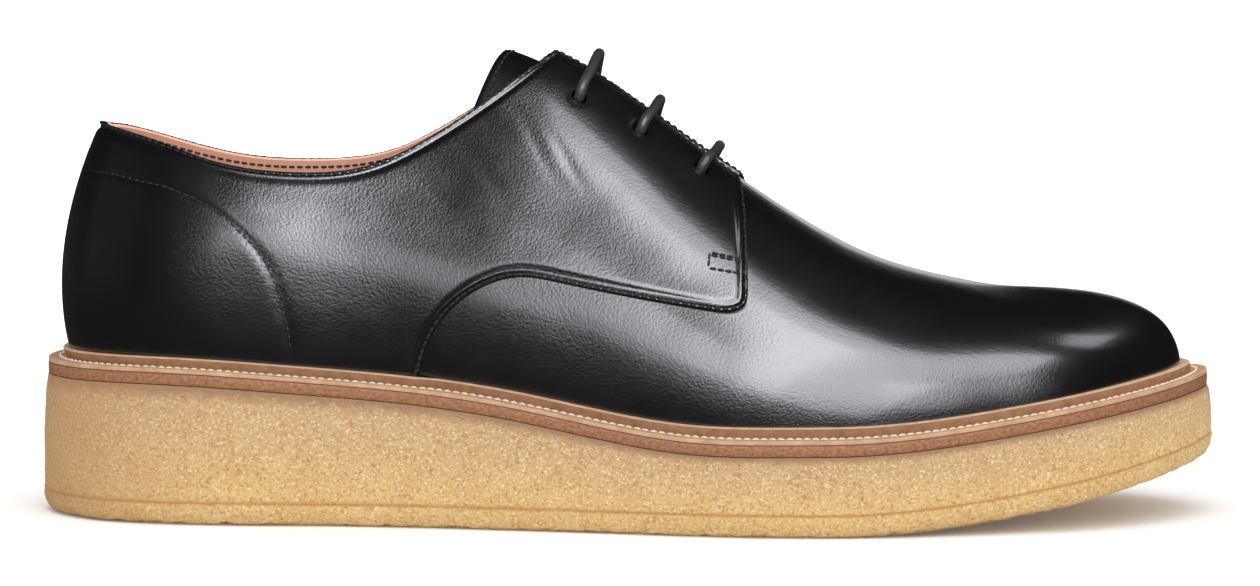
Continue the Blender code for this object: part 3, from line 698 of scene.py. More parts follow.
class Surface:
    """A Principled material and short calls for its nodes."""

    def __init__(self, name, roughness, **sockets):
        self.material = bpy.data.materials.new(name)
        self.material.use_nodes = True
        self.tree = self.material.node_tree
        self.shader = self.tree.nodes["Principled BSDF"]
        self.shader.inputs["Roughness"].default_value = roughness
        for socket, value in sockets.items():
            self.shader.inputs[socket.replace("_", " ")].default_value = value
        self.place = self.tree.nodes.new("ShaderNodeTexCoord").outputs["Object"]
        self.uv = self.tree.nodes.new("ShaderNodeTexCoord").outputs["UV"]

    def node(self, kind, **inputs):
        node = self.tree.nodes.new(kind)
        for socket, value in inputs.items():
            self.plug(node.inputs[socket.replace("_", " ")], value)
        return node

    def plug(self, socket, value):
        if isinstance(value, bpy.types.NodeSocket):
            self.tree.links.new(value, socket)
        else:
            socket.default_value = value

    def stretched(self, vector, scale):
        return self.node("ShaderNodeMapping", Vector=vector, Scale=scale).outputs[0]

    def noise(self, scale, detail=3.0, rough=0.55, vector=None):
        vector = vector or self.place
        node = self.node("ShaderNodeTexNoise", Vector=vector, Scale=scale, Detail=detail, Roughness=rough)
        return node.outputs["Fac"]

    def along(self, vector, axis):
        return self.node("ShaderNodeSeparateXYZ", Vector=vector).outputs[axis]

    def cells(self, scale, feature="F1"):
        node = self.node("ShaderNodeTexVoronoi", Vector=self.place, Scale=scale)
        node.feature = feature
        return node.outputs["Distance"]

    def maths(self, operation, first, second=0.0, clamp=False):
        node = self.tree.nodes.new("ShaderNodeMath")
        node.operation = operation
        node.use_clamp = clamp
        self.plug(node.inputs[0], first)
        self.plug(node.inputs[1], second)
        return node.outputs[0]

    def scaled(self, value, amount):
        return self.maths("MULTIPLY", value, amount)

    def blend(self, factor, first, second):
        node = self.tree.nodes.new("ShaderNodeMix")
        node.data_type = "RGBA"
        self.plug(node.inputs[0], factor)
        self.plug(node.inputs[6], first if isinstance(first, bpy.types.NodeSocket) else (*first, 1.0))
        self.plug(node.inputs[7], second if isinstance(second, bpy.types.NodeSocket) else (*second, 1.0))
        return node.outputs[2]

    def steps(self, factor, low, high):
        """Nought below low, one above high, and even in between."""
        node = self.node("ShaderNodeMapRange", Value=factor)
        node.inputs["From Min"].default_value = low
        node.inputs["From Max"].default_value = high
        return node.outputs[0]

    def tint(self, base, colour, amount, factor, low, high):
        """Blends a screen colour over the base, where a factor goes from low to high."""
        return self.blend(self.scaled(self.steps(factor, low, high), amount), base, linear(*colour))

    def colour(self, value):
        self.plug(self.shader.inputs["Base Color"], value)

    def rough(self, value):
        self.plug(self.shader.inputs["Roughness"], value)

    def relief(self, height, distance, before=None):
        node = self.node("ShaderNodeBump", Distance=distance, Height=height)
        if before is not None:
            self.tree.links.new(before, node.inputs["Normal"])
        self.tree.links.new(node.outputs[0], self.shader.inputs["Normal"])
        return node.outputs[0]


def black_leather():
    s = Surface("black_leather", 0.3, Specular_IOR_Level=0.9, Coat_Weight=0.7, Coat_Roughness=0.13)
    tone = s.noise(45.0, 4.0)
    s.colour(s.blend(tone, (0.0020, 0.0020, 0.0021), (0.0050, 0.0050, 0.0055)))
    wear = s.noise(160.0, 5.0, 0.6)
    s.rough(s.maths("ADD", s.scaled(wear, 0.10), 0.20))
    swell = s.relief(s.noise(55.0, 1.0, 0.4), 0.00030)
    pore = s.cells(1700.0, feature="SMOOTH_F1")
    fine = s.noise(3600.0, 2.0)
    grain = s.maths("ADD", s.scaled(pore, -0.8), s.scaled(fine, 0.4))
    s.relief(grain, 0.000055, swell)
    return s.material


def lining_leather():
    s = Surface("lining_leather", 0.62, Specular_IOR_Level=0.3)
    tone = s.noise(70.0, 5.0, 0.6)
    s.colour(s.blend(tone, linear(216, 164, 140), linear(238, 197, 174)))
    s.relief(s.noise(1500.0, 4.0, 0.6), 0.00012)
    return s.material


def thread(name, low, high, roughness):
    s = Surface(name, roughness)
    s.colour(s.blend(s.noise(900.0, 3.0), low, high))
    twist = s.node("ShaderNodeTexWave", Vector=s.place, Scale=900.0, Distortion=1.5)
    s.relief(twist.outputs["Fac"], 0.00006)
    return s.material


def waxed_cord():
    s = Surface("waxed_cord", 0.38, Specular_IOR_Level=0.7, Coat_Weight=0.4, Coat_Roughness=0.25)
    s.colour(s.blend(s.noise(2600.0, 4.0), (0.004, 0.004, 0.005), (0.060, 0.060, 0.064)))
    s.relief(s.noise(4200.0, 3.0), 0.00012)
    return s.material


def veg_leather(name, low, high, scale, relief, roughness, streak=None, rim_shade=None):
    """Undyed leather between two screen colours, with streaks along an edge if given, and painted shade
    along its top and bottom rims if a shade colour is given.
    """
    low = linear(*low)
    high = linear(*high)
    s = Surface(name, roughness, Specular_IOR_Level=0.3)
    vector = s.stretched(s.uv, streak) if streak else s.place
    tone = s.noise(scale, 5.0, 0.65, vector=vector)
    shade = s.blend(s.steps(tone, 0.3, 0.7), low, high)
    if rim_shade:
        # Painted shade: the top and bottom rims are darkened towards the given colour. This stands for the
        # shadow where the edge meets the welt above and the crepe below.
        height = s.along(s.uv, "Y")
        shaded_rims = s.maths("ADD", s.steps(height, 0.80, 0.97), s.steps(height, 0.22, 0.06), clamp=True)
        shade = s.blend(s.scaled(shaded_rims, 0.8), shade, linear(*rim_shade))
    s.colour(shade)
    s.relief(s.noise(scale * 3.0, 4.0, 0.6, vector=vector), relief)
    return s.material


def crepe_rubber(name, outsole):
    """Mottled natural crepe: darker glue at the outsole's top, and smears at the wedge's top and foot."""
    s = Surface(name, 0.82, Specular_IOR_Level=0.25, Subsurface_Weight=0.12, Subsurface_Scale=0.004)
    s.shader.inputs["Subsurface Radius"].default_value = (1.0, 0.7, 0.35)
    height = s.along(s.uv, "Y")
    base = linear(216, 182, 124)
    if not outsole:
        base = s.blend(s.steps(height, 0.15, 1.0), base, linear(186, 158, 124))
    base = s.tint(base, (196, 152, 98), 0.45, s.noise(90.0, 3.0, 0.6), 0.35, 0.7)
    base = s.tint(base, (164, 118, 68), 0.7, s.noise(1000.0, 3.0, 0.7), 0.50, 0.66)
    light = s.noise(1250.0, 3.0, 0.7, vector=s.stretched(s.place, (1.0, 1.0, 1.3)))
    base = s.tint(base, (250, 228, 190), 0.75, light, 0.52, 0.70)
    if outsole:
        wave = s.scaled(s.maths("SUBTRACT", s.noise(160.0, 3.0), 0.5), 0.10)
        base = s.tint(base, (186, 126, 62), 0.75, s.maths("ADD", height, wave), 0.80, 0.93)
    else:
        wave = s.scaled(s.noise(300.0, 4.0), 0.12)
        base = s.tint(base, (150, 112, 84), 0.85, s.maths("ADD", height, wave), 0.92, 1.03)
        base = s.tint(base, (190, 132, 66), 0.6, height, 0.035, 0.0)
    s.colour(s.tint(base, (168, 126, 84), 0.6, s.along(s.place, "X"), -0.105, -0.150))
    crumb = s.maths("ADD", s.noise(1100.0, 4.0, 0.7), s.scaled(s.cells(700.0), 0.5))
    s.relief(crumb, 0.0006)
    return s.material


black = black_leather()
lining = lining_leather()
dark_thread = thread("dark_thread", (0.004, 0.004, 0.004), (0.020, 0.020, 0.020), 0.45)
pale_thread = thread("pale_thread", linear(226, 200, 176), linear(250, 234, 216), 0.6)
cord = waxed_cord()
wall_leather = veg_leather("welt_wall_leather", (134, 98, 70), (166, 124, 92), 420.0, 0.0002, 0.85)
lip_leather = veg_leather("welt_lip_leather", (176, 140, 112), (200, 168, 140), 300.0, 0.0001, 0.7)
ledge_leather = veg_leather("welt_ledge_leather", (166, 128, 96), (194, 158, 124), 260.0, 0.0001, 0.6)
# The midsole's edge gets painted shade along its top and bottom rims, in the last colour given.
midsole_leather = veg_leather(
    "midsole_edge_leather", (106, 67, 41), (172, 121, 84), 1.0, 0.0001, 0.5,
    streak=(900.0, 6.0, 1.0), rim_shade=(74, 44, 28)
)
sock_leather = veg_leather("sock_leather", (190, 134, 108), (214, 162, 136), 90.0, 0.0001, 0.6)
wedge_crepe = crepe_rubber("wedge_crepe", outsole=False)
outsole_crepe = crepe_rubber("outsole_crepe", outsole=True)


# Sole
def sole_piece(name, profile, wobble, surface, parts=SOLE_PARTS):
    """A slab of the sole. The profile's rows give the step beyond the margin and a height function."""
    turns, length = even_turns(parts)
    rows = []
    uvs = []
    last = len(profile) - 1
    for number, (beyond, height) in enumerate(profile):
        plan = sole_plan(turns, np.full_like(turns, beyond))
        points = np.concatenate((plan, height(plan[:, 0])[:, None]), axis=1)
        move = wobble(points, number / last)
        points[:, :2] += outward(turns) * move[0][:, None]
        points[:, 2] += move[1]
        rows.append(points)
        uvs.append(np.stack((length, np.full_like(length, number / last)), axis=-1))
    verts, loops = stacked(rows)
    return make_piece(name, verts, slab_faces(loops), [surface], uvs=np.concatenate(uvs), smooth_angle=60)


Wave = namedtuple("Wave", "scale seed amount")
CREPE_WAVES = (Wave(110.0, 1.0, 1.0), Wave(330.0, 2.0, 0.7), Wave(800.0, 3.0, 0.6))
TRIM_WAVES = (Wave(420.0, 5.0, 1.0), Wave(800.0, 6.0, 1.0))
BITE_WAVES = (Wave(230.0, 7.0, 1.0), Wave(620.0, 9.0, 0.8))
SLOW_SCALE = 60.0
SLOW_SEED = 4.0
SLOW_AMOUNT = 0.0007
TRIM_AMOUNT = 0.00022
BITE_DEPTH = 0.0040
BITE_LIFT = 0.0013
FULLER_SIDES = 0.0018
SIDES_END = 0.7
SIDES_FADE = 0.25


def waves(points, rows):
    return sum(wave.amount * noise_at(points, wave.scale, wave.seed) for wave in rows)


def crepe_wobble(points, share):
    fade = math.sin(math.pi * min(max(share, 0.03), 0.97)) ** 0.4
    return CREPE_ROUGHNESS * waves(points, CREPE_WAVES) * fade, 0.0


def midsole_wobble(points, share):
    return MIDSOLE_ROUGHNESS * noise_at(points, 300.0), 0.0


def ragged_wobble(points, share):
    """The outsole's trimmed edge is uneven, and rounder at the heel and the toe than along the sides."""
    low = 1 - share
    ends = np.abs(points[:, 0]) / (UPPER_LENGTH / 2)
    fuller = FULLER_SIDES * low ** 10 * (1 - np.clip((ends - SIDES_END) / SIDES_FADE, 0.0, 1.0))
    bites = np.maximum(0.0, waves(points, BITE_WAVES))
    rough = TRIM_AMOUNT * waves(points, TRIM_WAVES)
    slow = noise_at(points, SLOW_SCALE, SLOW_SEED)
    out = fuller - BITE_DEPTH * bites * low ** 12 + rough + SLOW_AMOUNT * low * slow
    lift = BITE_LIFT * low ** 4 * bites if share else np.zeros(len(points))
    return out, lift


def build_wedge():
    def height(share):
        def at(x):
            low = spring(x) + OUTSOLE_THICKNESS + CLEARANCE / 2
            return low + share * (crepe_top(x) + CLEARANCE / 2 - low)

        return at

    shares = np.linspace(0.0, 1.0, WEDGE_LAYERS + 1)
    steps = CREPE_BULGE * np.interp(shares, (0.0, 0.5, 0.88, 1.0), (1.0, 0.9, 0.5, 0.0))
    profile = [(step, height(share)) for step, share in zip(steps, shares)]
    slab = sole_piece("Crepe_wedge", profile, crepe_wobble, wedge_crepe)
    place(slab, "wedge_crepe", "crepe_wedge")


def build_outsole():
    def height(share):
        return lambda x: spring(x) + share * (OUTSOLE_THICKNESS + CLEARANCE / 2)

    shares = np.array((0.0, 0.02, 0.07, 0.16, 0.28, 0.42, 0.54, 0.66, 0.78, 0.88, 0.95, 1.0))
    backs = np.interp(shares, (0.0, 0.05, 0.16, 0.40, 0.66, 1.0), (1.0, 0.55, 0.25, 0.06, 0.0, 0.0))
    steps = CREPE_BULGE - backs * SOLE_ROUNDING
    profile = [(step, height(share)) for step, share in zip(steps, shares)]
    slab = sole_piece("Crepe_outsole", profile, ragged_wobble, outsole_crepe)
    place(slab, "outsole_crepe", "crepe_outsole")


def build_midsole():
    def height(share):
        def at(x):
            low = crepe_top(x) + CLEARANCE / 2
            return low + share * (midsole_top(x) + CLEARANCE / 2 - low)

        return at

    shares = (0.0, 0.10, 0.35, 0.65, 0.90, 1.0)
    steps = (-0.0003, 0.0, 0.0001, 0.0001, 0.0, -0.0003)
    profile = [(step, height(share)) for step, share in zip(steps, shares)]
    slab = sole_piece("Leather_midsole", profile, midsole_wobble, midsole_leather, MIDSOLE_PARTS)
    place(slab, "midsole_leather", "leather_midsole")


WeltLines = namedtuple("WeltLines", "turns length root foot edge wall_top lip")


def welt_lines(count):
    """The lines of the welt's section: under its wall, in its corner, at its edge and at its wall's top."""
    turns, length = even_turns(count)
    climb = climb_to_height(turns, WELT_UPSTAND)
    foot_x = rib(turns)[0][:, 0]
    blend = np.clip((foot_x - x_of(QUARTER_FEATHER)) / WELT_BLEND, 0.0, 1.0)
    inside = (1 - blend) * (OVERLAY_CLEARANCE + QUARTER_WALL)
    wall = WELT_WALL_HEEL + (WELT_WALL_TOE - WELT_WALL_HEEL) * along_of(foot_x)
    outer = inside + wall + CLEARANCE
    root = skin(turns, 0.0, inside)
    foot = skin(turns, 0.0, outer)
    edge = sole_plan(turns, np.zeros_like(turns))
    return WeltLines(turns, length, root, foot, edge, skin(turns, climb, outer), skin(turns, climb, inside))


# The section's rows: inset and height share at the ledge's edge, share of the ledge and dip, share of
# the wall, and share of the wall's top and its rise
WELT_EDGE_ROWS = ((0.0, 0.0), (0.0, 0.3), (0.0, 0.7), (0.00012, 0.88), (0.0004, 0.98), (0.0008, 1.0))
WELT_LEDGE_ROWS = (
    (0.35, 0.0), (0.6, 0.00005), (0.78, 0.0002), (0.88, 0.00035), (0.95, 0.0003), (1.0, 0.00005)
)
WELT_WALL_ROWS = (0.12, 0.35, 0.6, 0.82, 0.94)
WELT_TOP_ROWS = ((0.15, 0.7), (0.5, 1.0), (0.85, 0.6))


def welt_rows(lines):
    """Points of each row of the welt's section, from under its wall, round its edge and up to its lip."""
    turns, _, root, foot, edge, wall_top, lip = lines
    base_edge = midsole_top(edge[:, 0]) + CLEARANCE / 2
    base_foot = midsole_top(foot[:, 0]) + CLEARANCE / 2
    base_root = midsole_top(root[:, 0]) + CLEARANCE / 2
    top = WELT_FLANGE + CLEARANCE / 2
    rows = [np.column_stack((root[:, :2], base_root))]
    inward = foot[:, :2] - edge
    width = np.linalg.norm(inward, axis=1)[:, None]
    inward = inward / width
    for inset, share in WELT_EDGE_ROWS:
        rows.append(np.column_stack((edge + inward * inset, base_edge + top * share)))
    for share, dip in WELT_LEDGE_ROWS:
        plan = edge + inward * width * share
        level = base_edge + (base_foot - base_edge) * share + top - dip
        rows.append(np.column_stack((plan, level)))
    base = np.column_stack((foot[:, :2], base_foot + top))
    for share in WELT_WALL_ROWS:
        rows.append(base + (wall_top - base) * share)
    rise = np.array((0.0, 0.0, WELT_ROUND))
    for share, amount in WELT_TOP_ROWS:
        rows.append(wall_top + (lip - wall_top) * share + rise * amount)
    rows.append(lip)
    for row in rows[1:-1]:
        row[:, :2] += outward(turns) * (WELT_ROUGHNESS * noise_at(row, 500.0, 8.0))[:, None]
    return rows


def build_welt():
    """A closed ring of leather: the ledge, the wall against the upper, and the wall's paler lip."""
    lines = welt_lines(WELT_PARTS)
    rows = welt_rows(lines)
    verts, loops = stacked(rows)
    faces = []
    slots = []
    on_ledge = len(WELT_EDGE_ROWS) + len(WELT_LEDGE_ROWS)
    on_wall = on_ledge + len(WELT_WALL_ROWS)
    for number, (low, high) in enumerate(zip(loops, loops[1:] + loops[:1])):
        faces += ring_faces(low, high)
        slots += [(number >= on_ledge) + (number >= on_wall)] * WELT_PARTS
    shares = [np.full(WELT_PARTS, k / len(rows)) for k in range(len(rows))]
    uvs = np.concatenate([np.column_stack((lines.length, share)) for share in shares])
    leathers = [ledge_leather, wall_leather, lip_leather]
    welt = make_piece("Storm_welt", verts, faces, leathers, slots, smooth_angle=50, uvs=uvs)
    place(welt, "welt_leather", "storm_welt")


Ring = namedtuple("Ring", "along size lift")
STITCH_RINGS = (
    Ring(0.00, 0.45, -0.90),
    Ring(0.12, 0.85, -0.25),
    Ring(0.35, 1.00, 0.10),
    Ring(0.65, 1.00, 0.10),
    Ring(0.88, 0.85, -0.25),
    Ring(1.00, 0.45, -0.90),
)
STITCH_SIDES = 7
LONGEST_STRETCH = 1.5


def stitch_mesh(start, end, up, radius):
    """Vertices and faces of one thread stitch between two points, arched away from the surface."""
    axis = end - start
    length = np.linalg.norm(axis)
    axis = axis / length
    side = unit(np.cross(axis, up))
    up = np.cross(side, axis)
    sides = STITCH_SIDES
    verts = []
    for ring in STITCH_RINGS:
        middle = start + axis * (length * ring.along) + up * (radius * ring.lift)
        for k in range(sides):
            angle = FULL_TURN * k / sides
            verts.append(middle + radius * ring.size * (math.cos(angle) * side + math.sin(angle) * up))
    faces = []
    for first in range(0, sides * (len(STITCH_RINGS) - 1), sides):
        for k in range(sides):
            a = first + k
            b = first + (k + 1) % sides
            faces.append((a, a + sides, b + sides, b))
    faces.append(tuple(range(sides)))
    faces.append(tuple(reversed(range(len(verts) - sides, len(verts)))))
    return verts, faces


class Stitches:
    """Gathers thread stitches into one mesh."""

    def __init__(self):
        self.verts = []
        self.faces = []

    def add(self, start, end, up, radius):
        verts, faces = stitch_mesh(start, end, up, radius)
        base = len(self.verts)
        self.verts += verts
        self.faces += [tuple(base + i for i in face) for face in faces]

    def row(self, points, ups, pitch, length, radius, lift=0.0, slant=0.0):
        """Stitches along a line, one for each pitch, with none over a gap in the line."""
        places = lengths_along(points)
        gaps = np.diff(places)
        count = int(places[-1] / pitch)
        for k in range(count):
            centre = (k + 0.5) * pitch + random.uniform(-0.04, 0.04) * pitch
            stretch = min(int(np.searchsorted(places, centre)), len(gaps)) - 1
            if gaps[stretch] > LONGEST_STRETCH * pitch:
                continue
            ends = []
            for at in (centre - length / 2, centre + length / 2):
                at = min(max(at, 0.0), places[-1])
                ends.append(np.array([np.interp(at, places, points[:, j]) for j in range(3)]))
            up = np.array([np.interp(centre, places, ups[:, j]) for j in range(3)])
            up /= np.linalg.norm(up)
            side = np.cross(ends[1] - ends[0], up)
            side /= np.linalg.norm(side)
            self.add(ends[0] + up * lift - side * slant, ends[1] + up * lift + side * slant, up, radius)

    def build(self, name, surface, slot):
        return place(make_piece(name, self.verts, self.faces, [surface], smooth_angle=75), slot)


def build_welt_stitches():
    lines = welt_lines(WELT_STITCH_POINTS)
    foot = lines.foot[:, :2]
    plan = foot - unit(foot - lines.edge) * WELT_STITCH_INSET
    level = midsole_top(plan[:, 0]) + CLEARANCE / 2 + WELT_FLANGE
    line = np.column_stack((plan, level))
    line = np.concatenate((line, line[:1]))
    ups = np.tile(np.array((0.0, 0.0, 1.0)), (len(line), 1))
    stitches = Stitches()
    stitches.row(
        line, ups, WELT_PITCH, WELT_STITCH_LENGTH, WELT_STITCH_RADIUS, WELT_STITCH_LIFT, WELT_STITCH_SLANT
    )
    stitches.build("Welt_stitches", pale_thread, "welt_leather")


def build_insole():
    turns, _ = even_turns(INSOLE_PARTS)
    inset = UPPER_WALL + INSOLE_CLEARANCE
    rows = []
    for back, share in ((0.0, 0.0), (0.0, 0.6), (0.0003, 0.9), (0.0010, 1.0)):
        plan = feather_plan(turns) - SOLE_MIDDLE - outward(turns) * (inset + back)
        base = midsole_top(plan[:, 0]) + CLEARANCE
        rows.append(np.column_stack((plan, base + INSOLE_THICKNESS * share)))
    verts, loops = stacked(rows)
    place(make_piece("Insole_sock", verts, slab_faces(loops), [sock_leather]), "lining_leather", "insole")


# Upper
def build_upper():
    """Vamp and counter outside, lining inside and on the rim of the collar and the throat."""
    turns = FULL_TURN * np.arange(WALL_RIBS) / WALL_RIBS
    tops = np.where(along_of(rib(turns)[1][:, 0]) < THROAT_END, top_climb(turns), 1.0)
    closed = tops == 1.0
    ratio = np.linspace(0.0, 1.0, WALL_ROWS + 1)
    climbs = tops[:, None] * ratio[None, :]
    grid = np.broadcast_to(turns[:, None], climbs.shape)
    base = skin(grid, climbs, 0.0)
    normal = skin_normal(grid, climbs)
    swell = UPPER_SWELL * noise_at(base, 38.0, 11.0)
    fade = np.minimum(climbs / 0.2, 1.0) * np.minimum((1.02 - climbs) / 0.2, 1.0)
    outer = base + normal * (swell * fade)[..., None]
    inner = base - normal * UPPER_WALL
    rows = WALL_ROWS + 1
    verts = np.concatenate((outer.reshape(-1, 3), inner.reshape(-1, 3)))
    faces = []
    slots = []

    def at(layer, i, row):
        return layer * WALL_RIBS * rows + (i % WALL_RIBS) * rows + row

    for i in range(WALL_RIBS):
        for row in range(WALL_ROWS):
            corners = ((i, row), (i + 1, row), (i + 1, row + 1), (i, row + 1))
            faces.append(tuple(at(0, *corner) for corner in corners))
            faces.append(tuple(at(1, *corner) for corner in reversed(corners)))
            slots += [0, 1]
        faces.append((at(0, i + 1, 0), at(0, i, 0), at(1, i, 0), at(1, i + 1, 0)))
        slots.append(1)
        if not (closed[i] and closed[(i + 1) % WALL_RIBS]):
            corners = ((0, i), (0, i + 1), (1, i + 1), (1, i))
            faces.append(tuple(at(layer, place_at, WALL_ROWS) for layer, place_at in corners))
            slots.append(1)
    item = make_piece("Upper_vamp_and_lining", verts, faces, [black, lining], slots, smooth_angle=50)
    mesh = bmesh.new()
    mesh.from_mesh(item.data)
    bmesh.ops.remove_doubles(mesh, verts=mesh.verts, dist=1e-6)
    mesh.to_mesh(item.data)
    mesh.free()
    return item


FEATHER_POINTS = 100
EDGE_POINTS = 170


def quarter_paths(side):
    """Turns and climbs along the lower and upper edges, and how many places lie on the feather edge."""
    corner = turn_of(QUARTER_FEATHER, "outer")
    feather = np.linspace(0.0, float(corner), FEATHER_POINTS)
    low_share = (feather_height(x_of(QUARTER_FEATHER)) - feather_height(HEEL_X)) / BACK_HEIGHT
    places = np.array([(QUARTER_FEATHER, float(low_share))] + [tuple(row) for row in QUARTER_EDGE_ROWS])
    sizes = places * (UPPER_LENGTH, BACK_HEIGHT)
    lengths = lengths_along(sizes)
    along = smooth_curve(lengths, places[:, 0])
    height = smooth_curve(lengths, places[:, 1])
    whole = lengths[-1]
    close = whole - np.array(EDGE_STEPS)[::-1]
    wanted = np.concatenate((np.linspace(0.0, whole - LAST_BAND, EDGE_POINTS)[1:], close))
    turn, climb = on_skin_at(x_of(along(wanted)), edge_height(height(wanted)), side)
    low_turn = np.concatenate((feather if side == "outer" else FULL_TURN - feather, turn))
    low_climb = np.concatenate((np.zeros(len(feather)), climb))
    last = float(on_skin_beside_ridge(x_of(QUARTER_FRONT), THROAT_GAP / 2, side)[0])
    first = low_turn[0]
    stretch = (last - first) / (low_turn[-1] - first)
    over = first + (low_turn[:len(feather)] - first) * stretch
    over = np.concatenate((over, over[-1] + (last - over[-1]) * wanted / whole))
    return low_turn, low_climb, over, top_climb(over), len(feather)


# A crease's direction is in degrees from the toe, and its sizes are half of its length and width
Crease = namedtuple("Crease", "x z direction reach spread depth")
CREASES = (
    Crease(-0.022, 0.0980, -48.0, 0.012, 0.0016, 0.00013),
    Crease(-0.014, 0.0940, -44.0, 0.010, 0.0014, 0.00010),
    Crease(-0.034, 0.0900, -35.0, 0.016, 0.0020, 0.00012),
    Crease(-0.046, 0.0840, -28.0, 0.014, 0.0020, 0.00012),
    Crease(-0.060, 0.0800, -20.0, 0.018, 0.0024, 0.00009),
    Crease(-0.082, 0.0780, -6.0, 0.016, 0.0022, 0.00007),
    Crease(-0.064, 0.0680, 5.0, 0.036, 0.0110, 0.00010),
    Crease(-0.046, 0.0810, -55.0, 0.020, 0.0100, 0.00020),
)


def crease_depth(points):
    depth = np.zeros(points.shape[:-1])
    for crease in CREASES:
        angle = math.radians(crease.direction)
        dx = points[..., 0] - crease.x
        dz = points[..., 2] - crease.z
        along = dx * math.cos(angle) + dz * math.sin(angle)
        wave = CREASE_WAVE * np.sin(along / CREASE_WAVE_REACH)
        across = dz * math.cos(angle) - dx * math.sin(angle) + wave
        depth -= crease.depth * dent(along, crease.reach) * dent(across, crease.spread)
    return depth


Place = namedtuple("Place", "x z")
COUNTER_LINE = (
    Place(-0.1480, 0.0905),
    Place(-0.1357, 0.0899),
    Place(-0.1263, 0.0887),
    Place(-0.1169, 0.0866),
    Place(-0.1033, 0.0799),
    Place(-0.0970, 0.0743),
    Place(-0.0922, 0.0684),
    Place(-0.0890, 0.0615),
    Place(-0.0865, 0.0516),
    Place(-0.0850, 0.0441),
)
COUNTER_START = 0.004
COUNTER_POINTS = 160
COUNTER_SKIPPED = 8


def counter_curve(side):
    """Places of the counter's stitch line on the quarter."""
    points = np.array(COUNTER_LINE)
    lengths = lengths_along(points)
    wanted = np.linspace(COUNTER_START, lengths[-1], COUNTER_POINTS)[COUNTER_SKIPPED:]
    x = smooth_curve(lengths, points[:, 0])(wanted)
    z = smooth_curve(lengths, points[:, 1])(wanted)
    turn, climb = on_skin_at(x, z, side)
    return skin(turn, climb, 0.0)


def quarter_offset(base, gap, counter_gap, seam_gap, side):
    """Height of the quarter's outside over the last, with its rounded edge, grooves, creases and pits."""
    share = np.clip(gap / EDGE_ROUNDING, 0.0, 1.0)
    round_off = 0.35 + 0.65 * np.sqrt(1 - (1 - share) ** 2)
    offset = (OVERLAY_CLEARANCE + QUARTER_WALL) * round_off
    offset -= STITCH_BED_DEPTH * dent(gap - STITCH_INSET, STITCH_BED_WIDTH)
    offset -= COUNTER_BED_DEPTH * dent(counter_gap, FINE_BED_WIDTH)
    offset -= SEAM_BED_DEPTH * dent(seam_gap, FINE_BED_WIDTH)
    if side == "outer":
        offset += crease_depth(base)
    else:
        offset += INNER_CREASES * crease_depth(base + np.array(INNER_SHIFT))
    swell = noise_at(base, 40.0, 12.0 if side == "outer" else 13.0)
    offset += QUARTER_SWELL * swell * np.clip(gap / 0.01, 0.0, 1.0)
    for number in range(EYELET_COUNT):
        place_turn, place_climb = on_skin_beside_ridge(eyelet_x(number), EYELET_REACH, side)
        ring = np.linalg.norm(base - skin_point(place_turn, place_climb), axis=-1)
        offset -= DIMPLE_DEPTH * dent(ring - EYELET_DIAMETER / 2, DIMPLE_WIDTH)
    return offset


def build_quarter(side, stitches):
    """One quarter and its search tree. Its threads run along the free edge and the counter's line."""
    low_turn, low_climb, top_turn, top_climbs, corner = quarter_paths(side)
    close = np.array(EDGE_STEPS) / QUARTER_DEPTH
    band = EDGE_BAND / QUARTER_DEPTH
    ratio = np.concatenate((close, np.linspace(band, 1 - band, QUARTER_ROWS), 1 - close[::-1]))
    turn = low_turn[None, :] + ratio[:, None] * (top_turn - low_turn)[None, :]
    climb = low_climb[None, :] + ratio[:, None] * (top_climbs - low_climb)[None, :]
    seam = BACK_SEAM_GAP / HEEL_WIDTH
    turn[:, 0] += seam if side == "outer" else -seam
    base = skin_point(turn, climb)
    normal = skin_normal(turn, climb)
    free_edge = np.concatenate((base[0, corner:], base[1:, -1], base[-1, ::-1][1:]))
    edge_points = dense(free_edge)
    gap = near_distance(base, edge_points)
    counter = counter_curve(side)
    counter_gap = near_distance(base, dense(counter, COUNTER_STEP))
    seam_gap = np.abs(base[..., 1] + SOLE_MIDDLE[1]) + np.where(base[..., 0] < BACK_SEAM_END, 0.0, 1.0)
    offset = quarter_offset(base, gap, counter_gap, seam_gap, side)
    outer = base + normal * np.maximum(offset, QUARTER_UNDERSIDE * 2)[..., None]
    inner = base + normal * QUARTER_UNDERSIDE
    if side == "inner":
        outer = outer[:, ::-1]
        inner = inner[:, ::-1]
    verts = np.concatenate((outer.reshape(-1, 3), inner.reshape(-1, 3)))
    faces, flat = sheet_faces(*outer.shape[:2])
    item = make_piece("Quarter_" + side, verts, faces, [black], smooth_angle=55)
    tree = front_tree(verts, faces, flat)
    line, ups = inset_line(free_edge, tree, edge_points, side)
    stitches.row(line, ups, STITCH_PITCH, STITCH_LENGTH, STITCH_RADIUS, STITCH_LIFT)
    line, ups = on_tree(tree, counter)
    stitches.row(line, ups, STITCH_PITCH, STITCH_LENGTH, COUNTER_STITCH_RADIUS, COUNTER_STITCH_LIFT)
    return item, tree


def on_tree(tree, points):
    """Nearest places on a mesh, and its normals there."""
    found = [tree.find_nearest(Vector(p)) for p in points]
    return np.array([f[0] for f in found]), np.array([f[1] for f in found])


def inset_line(edge, tree, edge_points, side):
    """A line on the mesh at the stitches' distance inside an edge."""
    points = dense(edge, LINE_STEP)
    ahead = np.gradient(points, axis=0)
    ahead /= np.linalg.norm(ahead, axis=1)[:, None]
    _, ups = on_tree(tree, points)
    sign = 1.0 if side == "outer" else -1.0
    inward = unit(np.cross(ups, ahead)) * sign
    moved, ups = on_tree(tree, points + inward * STITCH_INSET)
    gap = near_distance(moved, edge_points)
    keep = gap > LEAST_INSET
    return moved[keep], ups[keep]


# Laces
def eyelet_x(number):
    return x_of(EYELET_TOP) + number * EYELET_PITCH


